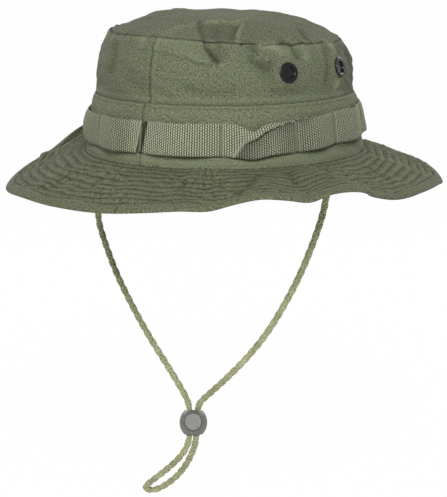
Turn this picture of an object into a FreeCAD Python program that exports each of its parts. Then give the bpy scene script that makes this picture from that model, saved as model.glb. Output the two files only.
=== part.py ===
"""Boonie hat: soft crown, stitched brim, webbing band, screened eyelets, chin cord and cord lock.

Millimetres.  Origin at the centre of the head opening, in the plane of the crown-to-brim seam.
+Z is up, +Y is the wearer's front and +X is the wearer's right.
"""
import FreeCAD, Part
import math
import os

Vec = FreeCAD.Vector

# ---- crown -------------------------------------------------------------------------------
OPENING_HALF_WIDTH = 95.0       # outside of the crown at its base, across the head
OPENING_HALF_LENGTH = 100.0     # the same, front to back
CROWN_CLOTH = 0.8               # one layer of crown cloth with its seam allowance pressed flat
SEAM_GAP = 0.15                 # between two cloth edges that are sewn to each other
BAND_TOP = 43.0                 # seam between the band and the side panels
BAND_INSET = 5.0                # how far the band leans in at its top
SIDE_INSET = 7.2                # inset of the side panels at the band seam
TOP_INSET = 16.5                # inset of the crown at the top seam
TOP_SEAM = 83.0                 # mean height of the seam round the top panel
TOP_TILT = 4.5                  # how far the soft top leans down to one side
TOP_TILT_AZIMUTH = 30.0         # the side it leans to
DOME_RISE = 15.5                # height of the top panel's dome above its seam
SIDE_SEAM_AZIMUTH = -92.0       # centre-back seam of the crown; the other is opposite

# ---- brim --------------------------------------------------------------------------------
BRIM_REACH = 57.0               # horizontal reach of the brim past the crown
BRIM_ROOT = 1.0                 # height of the brim's mid plane where it meets the crown
BRIM_PLY = 0.6                  # upper and under cloth of the brim
INTERLINING = 0.9               # stiff layer between them
PLY_GAP = 0.12                  # between the plies
HEM_WIDTH = 7.0                 # folded binding round the brim's edge
HEM_CLOTH = 0.6
BRIM_SEAM_AZIMUTH = -116.0      # radial seam of the brim; the other is opposite

BRIM_STACK = INTERLINING / 2 + PLY_GAP      # from the brim's mid plane to its cloth
BAND_BOTTOM = BRIM_ROOT + BRIM_STACK + BRIM_PLY + SEAM_GAP      # the crown's band stands on it

# height of the brim's edge round the hat: azimuth in degrees, height in mm
BRIM_EDGE = [
    (-180, -11.0), (-165, -19.5), (-150, -22.0), (-135, -20.5), (-120, -18.0), (-105, -18.3),
    (-90, -18.0), (-78, -15.5), (-70, -13.6), (-63, -13.2), (-57, -9.0), (-51, -6.2),
    (-45, -7.4), (-39, -9.6), (-34, -6.0), (-29, -5.2), (-24, -7.0), (-19, -12.2), (-12, -15.3),
    (0, -15.1), (15, -17.0), (30, -21.0), (45, -18.0), (60, -15.4), (75, -10.5), (90, -9.0),
    (105, -10.0), (120, -10.5), (135, -7.5), (150, 0.0), (163, 4.8),
]

# ---- sweatband and webbing ---------------------------------------------------------------
SWEATBAND_HEIGHT = 32.0
SWEATBAND_CLOTH = 1.2
SWEATBAND_BOTTOM = 2.6
LAYER_GAP = 0.25                # cloth lying on cloth
WEBBING_BOTTOM = 11.0
WEBBING_WIDTH = 21.0
WEBBING_THICKNESS = 1.4
LOOP_RISE = 3.3                 # how far a webbing loop stands off between its tacks
WEBBING_JOIN_AZIMUTH = -93.5
TACK_WIDTH = 1.6
TACK_HEIGHT = 0.5
TACK_AZIMUTHS = [-150, -120, -60, -30, -9.5, 20, 50, 80, 110, 140, 170]

# ---- eyelets -----------------------------------------------------------------------------
EYELET_AZIMUTHS = [-31.0, 1.5, 149.0, 181.5]
EYELET_HEIGHT = 62.5
EYELET_RADIUS = 6.75            # outside of the flange
EYELET_BARREL_RADIUS = 4.6
EYELET_WALL = 0.5
EYELET_FLANGE = 1.1             # thickness of the rolled flange
EYELET_FIT = 0.15               # round the barrel, in the cloth and the washer
EYELET_SEAT_GAP = 0.1           # between its flat flanges and the curved cloth
SCREEN_THICKNESS = 0.4
WASHER_THICKNESS = 0.5

# ---- chin cord ---------------------------------------------------------------------------
CORD_DIAMETER = 4.5
CORD_PLANE = -14.0              # the cord hangs in this plane across the hat
EXIT_HEIGHT = -1.0
ANCHOR_SIZE = (10.0, 3.4, 16.0)     # stitched tab: along the head, across, high

# ---- cord lock ---------------------------------------------------------------------------
LOCK_CENTRE = (-18.2, -14.0, -197.3)
LOCK_YAW = 30.0                 # turn of the push button from the back of the hat
LOCK_TILT = 20.0                # the button points up by this
LOCK_RADIUS = 10.0
LOCK_HALF_HEIGHT = 8.65
LOCK_FLAT_RADIUS = 6.4          # flat ends where the cord goes through
BORE_RADIUS = 6.5
POCKET_FLOOR = -8.2             # bottom of the spring's pocket, in line with the button
PLUNGER_CLEARANCE = 0.25
PLUNGER_TOP = 11.2
PLUNGER_FOOT = -3.5
PLUNGER_TRAVEL = 3.0
STRAND_GAP = 0.3                # between the two strands in the lock
CORD_CLEARANCE = 0.4            # round the strands in the lock's hole
PINCH_CLEARANCE = 0.15
FOOT_CLEARANCE = 0.2            # under the plunger when it is pressed home
SPRING_WIRE = 0.5
SPRING_RADIUS = 4.2
SPRING_TURNS = 2.25
SPRING_CLEARANCE = 0.4          # round the spring in its pocket
SPRING_SEAT = 0.05

CORD_RADIUS = CORD_DIAMETER / 2
STRAND_OFFSET = CORD_RADIUS + STRAND_GAP / 2


# ---- curves ------------------------------------------------------------------------------
def ease(points, x):
    """Smooth curve through (x, y) points: cubic pieces with central slopes."""
    i = 0
    while i < len(points) - 2 and x > points[i + 1][0]:
        i += 1

    def slope(k):
        a = points[max(k - 1, 0)]
        b = points[min(k + 1, len(points) - 1)]
        return (b[1] - a[1]) / (b[0] - a[0])

    (x0, y0), (x1, y1) = points[i], points[i + 1]
    h = x1 - x0
    t = (x - x0) / h
    return (y0 * (1 + 2 * t) * (1 - t) ** 2 + y1 * t * t * (3 - 2 * t)
            + h * slope(i) * t * (1 - t) ** 2 - h * slope(i + 1) * t * t * (1 - t))


def brim_edge_height(azimuth):
    """Height of the brim's edge, repeated past both ends of its list."""
    ring = [(a - 360, z) for a, z in BRIM_EDGE[-3:]] + BRIM_EDGE
    ring += [(a + 360, z) for a, z in BRIM_EDGE[:3]]
    return ease(ring, (azimuth + 180) % 360 - 180)


def ring_point(azimuth, inset, height):
    """A point on the crown's oval, drawn in by inset."""
    a = math.radians(azimuth)
    return Vec((OPENING_HALF_WIDTH - inset) * math.cos(a),
               (OPENING_HALF_LENGTH - inset) * math.sin(a), height)


def top_seam_height(azimuth):
    return TOP_SEAM - TOP_TILT * math.cos(math.radians(azimuth - TOP_TILT_AZIMUTH))


def band_point(azimuth, height, outward):
    """A point on the cloth band, which leans in and is pulled in further at its top seam."""
    rise = (height - BAND_BOTTOM) / (BAND_TOP - BAND_BOTTOM)
    pull = (SIDE_INSET - BAND_INSET) * rise ** 8
    return ring_point(azimuth, BAND_INSET * rise + pull - outward, height)


def side_point(azimuth, rise, outward):
    """A point on the side panels, rise going from 0 at the band to 1 at the top seam."""
    lean = ease([(0, 0), (0.4, 0.03), (0.65, 0.24), (0.85, 0.62), (1, 1)], rise)
    low = BAND_TOP + SEAM_GAP
    height = low + rise * (top_seam_height(azimuth) - low)
    return ring_point(azimuth, SIDE_INSET + lean * (TOP_INSET - SIDE_INSET) - outward, height)


def brim_point(azimuth, reach, up):
    """A point of the brim, reach going from 0 at the crown to 1 at the edge."""
    run = max(reach, 0)
    droop = 0.75 * run + 0.25 * run ** 2
    height = BRIM_ROOT + (brim_edge_height(azimuth) - BRIM_ROOT) * droop
    return ring_point(azimuth, -BRIM_REACH * reach, height + up)


# ---- solids ------------------------------------------------------------------------------
def spread(start, end, steps):
    return [start + (end - start) * i / steps for i in range(steps + 1)]


def close_ends(values):
    """Add two closer samples at each end, where a surface through few points would swing."""
    first, last = values[1] - values[0], values[-1] - values[-2]
    return ([values[0], values[0] + 0.15 * first, values[0] + 0.5 * first] + values[1:-1]
            + [values[-1] - 0.5 * last, values[-1] - 0.15 * last, values[-1]])


def skin(grid):
    surface = Part.BSplineSurface()
    surface.interpolate(grid)
    return surface


def ply(outer, inner):
    """Closed sheet between two grids of points of the same size."""
    surfaces = [skin(outer), skin(inner)]
    faces = [s.toShape() for s in surfaces]
    for along_u in (True, False):
        for end in (0, 1):
            rims = []
            for s in surfaces:
                u0, u1, v0, v1 = s.bounds()
                iso = s.uIso((u0, u1)[end]) if along_u else s.vIso((v0, v1)[end])
                rims.append(iso.toShape())
            faces.append(Part.makeRuledSurface(rims[0], rims[1]))
    shell = Part.Shell(faces)
    shell.sewShape()
    solid = Part.Solid(shell)
    if solid.Volume < 0:
        solid.reverse()
    return solid


def sheet(place, azimuths, steps, outside, inside):
    """A ply whose two skins are place(azimuth, step, offset) at two offsets."""
    azimuths = close_ends(azimuths)
    skins = [[[place(a, s, offset) for s in steps] for a in azimuths] for offset in (outside, inside)]
    return ply(skins[0], skins[1])


def placed(shape, origin, across, axis):
    """Move a shape drawn round its own Z axis to an origin, with Z along axis and X along across."""
    up = Vec(axis).normalize()
    side = Vec(across)
    side = (side - up * side.dot(up)).normalize()
    third = up.cross(side)
    matrix = FreeCAD.Matrix(side.x, third.x, up.x, origin.x,
                            side.y, third.y, up.y, origin.y,
                            side.z, third.z, up.z, origin.z, 0, 0, 0, 1)
    moved = shape.copy()
    moved.transformShape(matrix)
    return moved


def ring(outer, inner, low, high):
    """Flat ring round Z."""
    solid = Part.makeCylinder(outer, high - low, Vec(0, 0, low))
    return solid.cut(Part.makeCylinder(inner, high - low + 2, Vec(0, 0, low - 1)))


def halves(seam_azimuth, radius):
    """Azimuth ranges of two halves of a ring, with a seam gap between them."""
    slack = math.degrees(SEAM_GAP / 2 / radius)
    return [(seam_azimuth + slack, seam_azimuth + 180 - slack),
            (seam_azimuth + 180 + slack, seam_azimuth + 360 - slack)]


def export(shape, node):
    if not shape.isValid():
        print("not valid:", node)
    shape.exportStep("parts/%s.step" % node)
    print("%-28s %9.1f mm3" % (node, shape.Volume))


# ---- crown -------------------------------------------------------------------------------
def eyelet_frame(azimuth):
    """Centre on the cloth's outside, the direction along the seam and the outward normal."""
    low = BAND_TOP + SEAM_GAP
    rise = (EYELET_HEIGHT - low) / (top_seam_height(azimuth) - low)
    centre = side_point(azimuth, rise, 0)
    along = side_point(azimuth + 1, rise, 0) - side_point(azimuth - 1, rise, 0)
    upward = side_point(azimuth, rise + 0.02, 0) - side_point(azimuth, rise - 0.02, 0)
    return centre, along, along.cross(upward)


def cloth_fall(azimuth, radius):
    """How far the curved cloth falls away from its tangent plane, within a radius of an eyelet."""
    centre, along, normal = eyelet_frame(azimuth)
    normal.normalize()
    low = BAND_TOP + SEAM_GAP
    height = top_seam_height(azimuth) - low
    rise = (EYELET_HEIGHT - low) / height
    turn = math.degrees(radius / OPENING_HALF_WIDTH) * 1.1
    fall = 0
    for step in range(12):
        direction = math.radians(30 * step)
        rim = side_point(azimuth + turn * math.cos(direction),
                         rise + radius / height * math.sin(direction), 0)
        fall = min(fall, (rim - centre).dot(normal))
    return -fall


def eyelet_holes():
    holes = []
    for azimuth in EYELET_AZIMUTHS:
        centre, along, normal = eyelet_frame(azimuth)
        drill = Part.makeCylinder(EYELET_BARREL_RADIUS + EYELET_FIT, 12, Vec(0, 0, -6))
        holes.append(placed(drill, centre, along, normal))
    return Part.makeCompound(holes)


def build_crown():
    for name, (start, end) in zip(("right", "left"), halves(SIDE_SEAM_AZIMUTH, OPENING_HALF_WIDTH)):
        azimuths = spread(start, end, 90)
        panel = sheet(side_point, azimuths, spread(0, 1, 8), 0, -CROWN_CLOTH)
        export(panel.cut(eyelet_holes()), "crown_side_panel_" + name)
        band = sheet(band_point, azimuths, spread(BAND_BOTTOM, BAND_TOP, 12), 0, -CROWN_CLOTH)
        export(band, "crown_band_" + name)
    export(top_panel(), "crown_top_panel")


def top_panel():
    inset = TOP_INSET + CROWN_CLOTH + SEAM_GAP
    half_width = OPENING_HALF_WIDTH - inset
    half_length = OPENING_HALF_LENGTH - inset
    lean = math.radians(TOP_TILT_AZIMUTH)

    def point(x, y, down):
        span = math.hypot(x / half_width, y / half_length)
        tilt = TOP_TILT * (x * math.cos(lean) + y * math.sin(lean)) / half_width
        return Vec(x, y, TOP_SEAM - tilt + DOME_RISE * (1 - span ** 3) - down)

    xs = spread(-half_width - 2, half_width + 2, 16)
    ys = spread(-half_length - 2, half_length + 2, 16)
    skins = [[[point(x, y, down) for y in ys] for x in xs] for down in (0, CROWN_CLOTH)]
    slab = ply(skins[0], skins[1])
    height = TOP_SEAM + DOME_RISE + TOP_TILT
    oval = Part.BSplineCurve()
    oval.interpolate([ring_point(a, inset, 0) for a in range(0, 360, 10)], PeriodicFlag=True)
    punch = Part.Face(Part.Wire([oval.toShape()])).extrude(Vec(0, 0, height))
    return slab.common(punch).Solids[0]


def build_sweatband():
    back = WEBBING_JOIN_AZIMUTH
    slack = math.degrees(SEAM_GAP / OPENING_HALF_WIDTH)
    azimuths = spread(back + slack, back + 360 - slack, 180)
    outside = -CROWN_CLOTH - LAYER_GAP
    heights = spread(SWEATBAND_BOTTOM, SWEATBAND_BOTTOM + SWEATBAND_HEIGHT, 8)
    band = sheet(band_point, azimuths, heights, outside, outside - SWEATBAND_CLOTH)
    export(band, "sweatband")


# ---- webbing -----------------------------------------------------------------------------
def tack_ring():
    """All tack azimuths, with the join, going once round from the join."""
    inner = sorted((a - WEBBING_JOIN_AZIMUTH) % 360 for a in TACK_AZIMUTHS)
    return [WEBBING_JOIN_AZIMUTH + a for a in [0] + inner + [360]]


def webbing_point(azimuth, height, outward):
    """The webbing lies on the crown at each tack and arches off it between them."""
    tacks = tack_ring()
    index = max(i for i in range(len(tacks) - 1) if tacks[i] <= azimuth + 1e-9)
    share = (azimuth - tacks[index]) / (tacks[index + 1] - tacks[index])
    arch = LOOP_RISE * math.sin(math.pi * min(max(share, 0), 1)) ** 2
    return band_point(azimuth, height, LAYER_GAP + arch + outward)


def build_webbing():
    slack = math.degrees(SEAM_GAP / OPENING_HALF_WIDTH)
    start = WEBBING_JOIN_AZIMUTH + slack
    azimuths = spread(start, WEBBING_JOIN_AZIMUTH + 360 - slack, 240)
    heights = spread(WEBBING_BOTTOM, WEBBING_BOTTOM + WEBBING_WIDTH, 6)
    export(sheet(webbing_point, azimuths, heights, WEBBING_THICKNESS, 0), "webbing_band")
    tacks = []
    half = math.degrees(TACK_WIDTH / 2 / OPENING_HALF_WIDTH)
    low = LAYER_GAP + WEBBING_THICKNESS + PLY_GAP
    inner_heights = spread(WEBBING_BOTTOM + 1, WEBBING_BOTTOM + WEBBING_WIDTH - 1, 2)
    for azimuth in tack_ring()[:-1]:
        tacks.append(sheet(band_point, spread(azimuth - half, azimuth + half, 2), inner_heights,
                           low + TACK_HEIGHT, low))
    export(Part.makeCompound(tacks), "webbing_bartacks")


# ---- eyelets -----------------------------------------------------------------------------
def build_eyelets():
    for number, azimuth in enumerate(EYELET_AZIMUTHS, 1):
        centre, along, normal = eyelet_frame(azimuth)
        bore = EYELET_BARREL_RADIUS - EYELET_WALL
        washer_radius = EYELET_RADIUS - EYELET_WALL
        seat = -CROWN_CLOTH - cloth_fall(azimuth, washer_radius) - EYELET_SEAT_GAP
        foot = seat - WASHER_THICKNESS
        barrel = ring(EYELET_BARREL_RADIUS, bore, foot, EYELET_SEAT_GAP)
        flange = ring(EYELET_RADIUS, bore, EYELET_SEAT_GAP, EYELET_SEAT_GAP + EYELET_FLANGE)
        rim = [e for e in flange.Edges if e.BoundBox.ZMin > EYELET_SEAT_GAP + EYELET_FLANGE / 2]
        flange = flange.makeFillet(EYELET_FLANGE * 0.45, rim)
        screen = Part.makeCylinder(bore - PLY_GAP / 2, SCREEN_THICKNESS,
                                   Vec(0, 0, -SCREEN_THICKNESS))
        washer = ring(washer_radius, EYELET_BARREL_RADIUS + EYELET_FIT, foot, seat)
        for piece, shape in (("grommet", barrel.fuse(flange).removeSplitter()), ("screen", screen),
                             ("washer", washer)):
            export(placed(shape, centre, along, normal), "eyelet_%s_%d" % (piece, number))


# ---- brim --------------------------------------------------------------------------------
def hem_row(azimuth, depth, inset):
    """Points round the folded hem: along the upper side, round the edge and back underneath."""
    nose = 0.3
    row = []
    for share in spread(-1, 1, 20):
        if abs(share) > nose:
            run = (abs(share) - nose) / (1 - nose)
            back = depth + run * (HEM_WIDTH - depth)
            side = math.copysign(1, share)
        else:
            turn = math.radians(90 * share / nose)
            back = depth * (1 - math.cos(turn))
            side = math.sin(turn)
        row.append(brim_point(azimuth, 1 - (inset + back) / BRIM_REACH, side * depth))
    return row


def build_brim():
    inner_gap = (CROWN_CLOTH + SEAM_GAP) / BRIM_REACH
    layers = [("upper_ply", BRIM_STACK + BRIM_PLY, BRIM_STACK),
              ("interlining", INTERLINING / 2, -INTERLINING / 2),
              ("under_ply", -BRIM_STACK, -BRIM_STACK - BRIM_PLY)]
    inside = BRIM_STACK + BRIM_PLY + PLY_GAP
    edge = 1 - (HEM_CLOTH + inside + PLY_GAP) / BRIM_REACH
    for name, (start, end) in zip(("right", "left"), halves(BRIM_SEAM_AZIMUTH, OPENING_HALF_WIDTH)):
        azimuths = spread(start, end, 120)
        for layer, top, bottom in layers:
            solid = sheet(brim_point, azimuths, spread(-inner_gap, edge, 5), top, bottom)
            export(solid, "brim_%s_%s" % (layer, name))
    slack = math.degrees(SEAM_GAP / 2 / OPENING_HALF_WIDTH)
    azimuths = spread(BRIM_SEAM_AZIMUTH + slack, BRIM_SEAM_AZIMUTH + 360 - slack, 240)
    skins = [[hem_row(azimuth, depth, inset) for azimuth in azimuths]
             for depth, inset in ((inside + HEM_CLOTH, 0), (inside, HEM_CLOTH))]
    export(ply(skins[0], skins[1]), "brim_edge_hem")


# ---- chin cord and lock ------------------------------------------------------------------
def lock_axes():
    """Along the pair of strands, along the button and up the cord hole."""
    yaw = math.radians(LOCK_YAW)
    tilt = math.radians(LOCK_TILT)
    button = Vec(math.sin(yaw) * math.cos(tilt), -math.cos(yaw) * math.cos(tilt), math.sin(tilt))
    strands = Vec(math.cos(yaw), math.sin(yaw), 0)
    return strands, button, strands.cross(button)


def exit_half_span():
    """Half the distance between the cord's ends, which hang just inside the sweatband."""
    along, across, high = ANCHOR_SIZE
    azimuth = math.degrees(math.asin((CORD_PLANE - along / 2) / OPENING_HALF_LENGTH))
    layers = CROWN_CLOTH + LAYER_GAP + SWEATBAND_CLOTH + LAYER_GAP
    return band_point(azimuth, EXIT_HEIGHT + high, -layers).x - across / 2


def cord_route():
    """Points of the cord from its left end, through the lock and back to its right end."""
    strands, button, hole = lock_axes()
    centre = Vec(*LOCK_CENTRE)
    if hole.z < 0:
        hole = hole * -1

    def lock_point(side, height):
        return centre + strands * (side * STRAND_OFFSET) + hole * height

    def free(points):
        return [Vec(x, CORD_PLANE + y, z) for x, y, z in points]

    end = exit_half_span()
    left = free([(-end, 0, EXIT_HEIGHT), (-end, 0, -18), (-95.5, 0, -34.5),
                 (-99.5, 0, -53.5), (-93, 0, -72.5), (-83, 0, -95), (-70.5, 0, -116),
                 (-56, 0, -137.5), (-40.5, 0.3, -157.5), (-28.6, 1, -174)])
    tail = free([(-23.5, -6, -220.5), (-35, -6, -232.5), (-47.5, -5, -243), (-59.5, -4, -253.3),
                 (-55.8, 4, -257.7), (-45, 4, -251.3), (-35, 3, -242.8), (-26.5, 1.5, -232.8),
                 (-18.5, -2, -220.8)])
    right = free([(-8.7, 4, -176.6), (5, 1, -164.3), (22.5, 0, -146.8), (39.5, 0, -126.5),
                  (54, 0, -103.5), (67, 0, -79.2), (77.5, 0, -54), (84.5, 0, -33.5),
                  (end, 0, -16), (end, 0, EXIT_HEIGHT)])
    return (left + [lock_point(-1, 12.5), lock_point(-1, -12.5)] + tail
            + [lock_point(1, -12.5), lock_point(1, 12.5)] + right)


def cord_solid(points):
    """Tube along straight runs joined by arcs as large as their runs allow."""
    edges = []
    start = points[0]
    for a, b, c in zip(points, points[1:], points[2:]):
        before = b - a
        after = c - b
        trim = 0.45 * min(before.Length, after.Length)
        turn = before.getAngle(after)
        tangent_in = b - Vec(before).normalize() * trim
        tangent_out = b + Vec(after).normalize() * trim
        radius = trim / math.tan(turn / 2)
        inward = (Vec(after).normalize() - Vec(before).normalize()).normalize()
        middle = b + inward * (radius / math.cos(turn / 2) - radius)
        edges.append(Part.LineSegment(start, tangent_in).toShape())
        edges.append(Part.Arc(tangent_in, middle, tangent_out).toShape())
        start = tangent_out
        print("  turn %5.1f deg  radius %6.1f mm" % (math.degrees(turn), radius))
    edges.append(Part.LineSegment(start, points[-1]).toShape())
    path = Part.Wire(edges)
    disc = Part.makeCircle(CORD_RADIUS, points[0], points[1] - points[0])
    solid = path.makePipeShell([Part.Wire([disc])], True, False)
    section = math.pi * CORD_RADIUS ** 2
    print("cord length %.1f mm, volume over section times length %.5f"
          % (path.Length, solid.Volume / section / path.Length))
    return solid


def build_cord():
    export(cord_solid(cord_route()), "chin_cord")
    along, across, high = ANCHOR_SIZE
    for name, side in (("left", -1), ("right", 1)):
        box = Part.makeBox(across, along, high, Vec(-across / 2, -along / 2, 0))
        box = box.makeFillet(1.0, [e for e in box.Edges if e.BoundBox.ZLength > high / 2])
        box.translate(Vec(side * exit_half_span(), CORD_PLANE, EXIT_HEIGHT))
        export(box, "cord_anchor_" + name)


def obround(half_length, half_width, low, high, shift=0.0):
    """Slot along Z: rounded ends on X."""
    core = half_length - half_width
    body = Part.makeBox(2 * core, 2 * half_width, high - low, Vec(-core, shift - half_width, low))
    for x in (-core, core):
        body = body.fuse(Part.makeCylinder(half_width, high - low, Vec(x, shift, low)))
    return body.removeSplitter()


def coil(radius, height, turns, wire_radius):
    """Round wire wound round the Z axis, with flat cut ends."""
    steps = round(30 * turns)
    slope = math.atan(height / (2 * math.pi * radius * turns))
    outside, inside = [], []
    for step in range(steps + 1):
        turn = 2 * math.pi * turns * step / steps
        outward = Vec(math.cos(turn), math.sin(turn), 0)
        upward = Vec(math.sin(turn) * math.sin(slope), -math.cos(turn) * math.sin(slope),
                     math.cos(slope))
        centre = outward * radius + Vec(0, 0, height * step / steps)
        for rows, side in ((outside, 1), (inside, -1)):
            rows.append([centre + (outward * side * math.cos(a) + upward * math.sin(a)) * wire_radius
                         for a in spread(-math.pi / 2, math.pi / 2, 12)])
    halves_of_wire = [skin(outside), skin(inside)]
    faces = [half.toShape() for half in halves_of_wire]
    for end in (0, 1):
        rim = [half.uIso(half.bounds()[end]).toShape() for half in halves_of_wire]
        faces.append(Part.Face(Part.Wire(rim)))
    shell = Part.Shell(faces)
    shell.sewShape()
    solid = Part.Solid(shell)
    if solid.Volume < 0:
        solid.reverse()
    return solid


def build_lock():
    """Drawn with the cord hole along Z, the strands side by side on X and the button on -Y."""
    strands, button, hole = lock_axes()
    if hole.z < 0:
        hole = hole * -1
    top = LOCK_HALF_HEIGHT
    arc = Part.Arc(Vec(LOCK_FLAT_RADIUS, 0, -top), Vec(LOCK_RADIUS, 0, 0),
                   Vec(LOCK_FLAT_RADIUS, 0, top)).toShape()
    lines = [Part.LineSegment(Vec(LOCK_FLAT_RADIUS, 0, top), Vec(0, 0, top)).toShape(),
             Part.LineSegment(Vec(0, 0, top), Vec(0, 0, -top)).toShape(),
             Part.LineSegment(Vec(0, 0, -top), Vec(LOCK_FLAT_RADIUS, 0, -top)).toShape()]
    ball = Part.Face(Part.Wire([arc] + lines)).revolve(Vec(0, 0, 0), Vec(0, 0, 1), 360)
    bore_floor = PLUNGER_FOOT - PLUNGER_TRAVEL - FOOT_CLEARANCE
    bore = Part.makeCylinder(BORE_RADIUS, LOCK_RADIUS - bore_floor + 2, Vec(0, -bore_floor, 0),
                             Vec(0, -1, 0))
    pocket = Part.makeCylinder(SPRING_RADIUS + SPRING_WIRE / 2 + SPRING_CLEARANCE, -POCKET_FLOOR,
                               Vec(0, -POCKET_FLOOR, 0), Vec(0, -1, 0))
    slot_length = 2 * CORD_RADIUS + STRAND_GAP / 2 + CORD_CLEARANCE
    slot_width = CORD_RADIUS + CORD_CLEARANCE
    passage = obround(slot_length, slot_width, -top - 1, top + 1)
    body = ball.cut(bore).cut(pocket).cut(passage)

    radius = BORE_RADIUS - PLUNGER_CLEARANCE
    plunger = Part.makeCylinder(radius, PLUNGER_TOP - PLUNGER_FOOT, Vec(0, -PLUNGER_FOOT, 0),
                                Vec(0, -1, 0))
    face = [e for e in plunger.Edges if e.BoundBox.YMax < -PLUNGER_TOP + 1e-6]
    plunger = plunger.makeFillet(0.9, face)
    window_low = -CORD_RADIUS - PINCH_CLEARANCE
    window_high = CORD_RADIUS + PLUNGER_TRAVEL + STRAND_GAP
    window = Part.makeBox(2 * slot_length, window_high - window_low, 2 * radius + 2,
                          Vec(-slot_length, -window_high, -radius - 1))
    plunger = plunger.cut(window)

    coil_start = POCKET_FLOOR + SPRING_WIRE / 2 + SPRING_SEAT
    coil_end = PLUNGER_FOOT - SPRING_WIRE / 2 - SPRING_SEAT
    spring = coil(SPRING_RADIUS, coil_end - coil_start, SPRING_TURNS, SPRING_WIRE / 2)
    spring.rotate(Vec(0, 0, 0), Vec(1, 0, 0), 90)
    spring.translate(Vec(0, -coil_start, 0))

    centre = Vec(*LOCK_CENTRE)
    for node, shape in (("cord_lock_body", body), ("cord_lock_plunger", plunger),
                        ("cord_lock_spring", spring)):
        export(placed(shape, centre, strands, hole), node)


os.makedirs("parts", exist_ok=True)
build_crown()
build_sweatband()
build_webbing()
build_eyelets()
build_brim()
build_cord()
build_lock()
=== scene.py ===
import math

import bmesh
import bpy
import numpy as np
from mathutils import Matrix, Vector


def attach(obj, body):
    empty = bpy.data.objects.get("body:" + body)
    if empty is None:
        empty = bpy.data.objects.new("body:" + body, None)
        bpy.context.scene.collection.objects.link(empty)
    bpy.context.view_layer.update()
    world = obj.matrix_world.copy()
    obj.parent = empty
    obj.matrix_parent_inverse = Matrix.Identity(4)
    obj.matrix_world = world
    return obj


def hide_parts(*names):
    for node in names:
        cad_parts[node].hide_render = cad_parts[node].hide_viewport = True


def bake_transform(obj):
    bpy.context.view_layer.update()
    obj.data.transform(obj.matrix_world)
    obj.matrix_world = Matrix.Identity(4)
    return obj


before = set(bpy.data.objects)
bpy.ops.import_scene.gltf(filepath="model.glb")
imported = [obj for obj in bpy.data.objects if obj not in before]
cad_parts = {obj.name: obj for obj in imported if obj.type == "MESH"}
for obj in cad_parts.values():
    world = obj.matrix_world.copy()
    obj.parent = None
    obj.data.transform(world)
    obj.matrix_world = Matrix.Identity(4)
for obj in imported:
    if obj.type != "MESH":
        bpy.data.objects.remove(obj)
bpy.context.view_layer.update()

# Shapes are worked out in millimetres and written to meshes in metres.
MM = 0.001
WORN_ON = "hat"                 # the body that every sewn piece rides on

# ---- sizes shared with the CAD model, in millimetres ---------------------------------------
HALF_WIDTH = 95.0
HALF_LENGTH = 100.0
CLOTH = 0.8
BAND_BOTTOM, BAND_TOP = 2.32, 43.0
BAND_INSET, SIDE_INSET, TOP_INSET = 5.0, 7.2, 16.5
TOP_SEAM, TOP_TILT, TOP_TILT_AZIMUTH = 83.0, 4.5, 30.0
DOME_RISE = 15.5
SIDE_SEAM = -92.0
BRIM_REACH, BRIM_ROOT = 57.0, 1.0
BRIM_FACE = 0.62                # from the brim's middle to its stitched faces
HEM_WIDTH = 7.0
BRIM_SEAM = -116.0
BRIM_EDGE = [
    (-180, -12.5), (-165, -19.5), (-150, -22.0), (-135, -20.5), (-120, -18.0), (-105, -18.3),
    (-90, -18.0), (-78, -15.5), (-70, -13.6), (-63, -13.2), (-57, -9.0), (-51, -6.2),
    (-45, -7.4), (-39, -9.6), (-34, -6.0), (-29, -5.2), (-24, -7.0), (-19, -12.2), (-12, -15.3),
    (0, -15.1), (15, -17.0), (30, -21.0), (45, -18.0), (60, -15.4), (75, -10.5), (90, -9.0),
    (105, -10.0), (120, -10.5), (135, -7.5), (150, 0.0), (163, 4.8),
]
SWEATBAND_OUT, SWEATBAND_CLOTH = -1.05, 1.2
SWEATBAND_BOTTOM, SWEATBAND_TOP = 2.6, 34.6
WEBBING_BOTTOM, WEBBING_WIDTH, WEBBING_THICKNESS = 11.0, 21.0, 1.4
WEBBING_LIFT, LOOP_RISE = 0.25, 3.3
WEBBING_JOIN, RIB_PITCH = -93.5, 1.6
TACKS = [-150, -120, -60, -30, -9.5, 20, 50, 80, 110, 140, 170]
EYELETS, EYELET_HEIGHT = [-31.0, 1.5, 149.0, 181.5], 62.5
CORD_PLANE = -14.0
CORD_END = 87.36                # half the distance between the cord's two ends
EXIT_HEIGHT = -1.0
LOCK_CENTRE = (-18.2, -14.0, -197.3)
LOCK_YAW, LOCK_TILT = 30.0, 20.0
STRAND_OFFSET = 2.4

# Mean radii on which distances round the hat are counted, and the azimuth that they start from:
# the middle of the photograph's view.
CROWN_ROUND, BAND_ROUND, WEBBING_ROUND, BRIM_ROUND, HEM_ROUND = 92, 95, 98, 125, 152
VIEW_MIDDLE = -60

# ---- the photograph's view -------------------------------------------------------------------
VIEW_AZIMUTH, VIEW_DISTANCE, VIEW_HEIGHT = 30.0, 1.1374, 0.170
LENS, SENSOR, AIM_HEIGHT, AIM_LEFT = 119.0, 36.0, -0.0697, -0.00105


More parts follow.
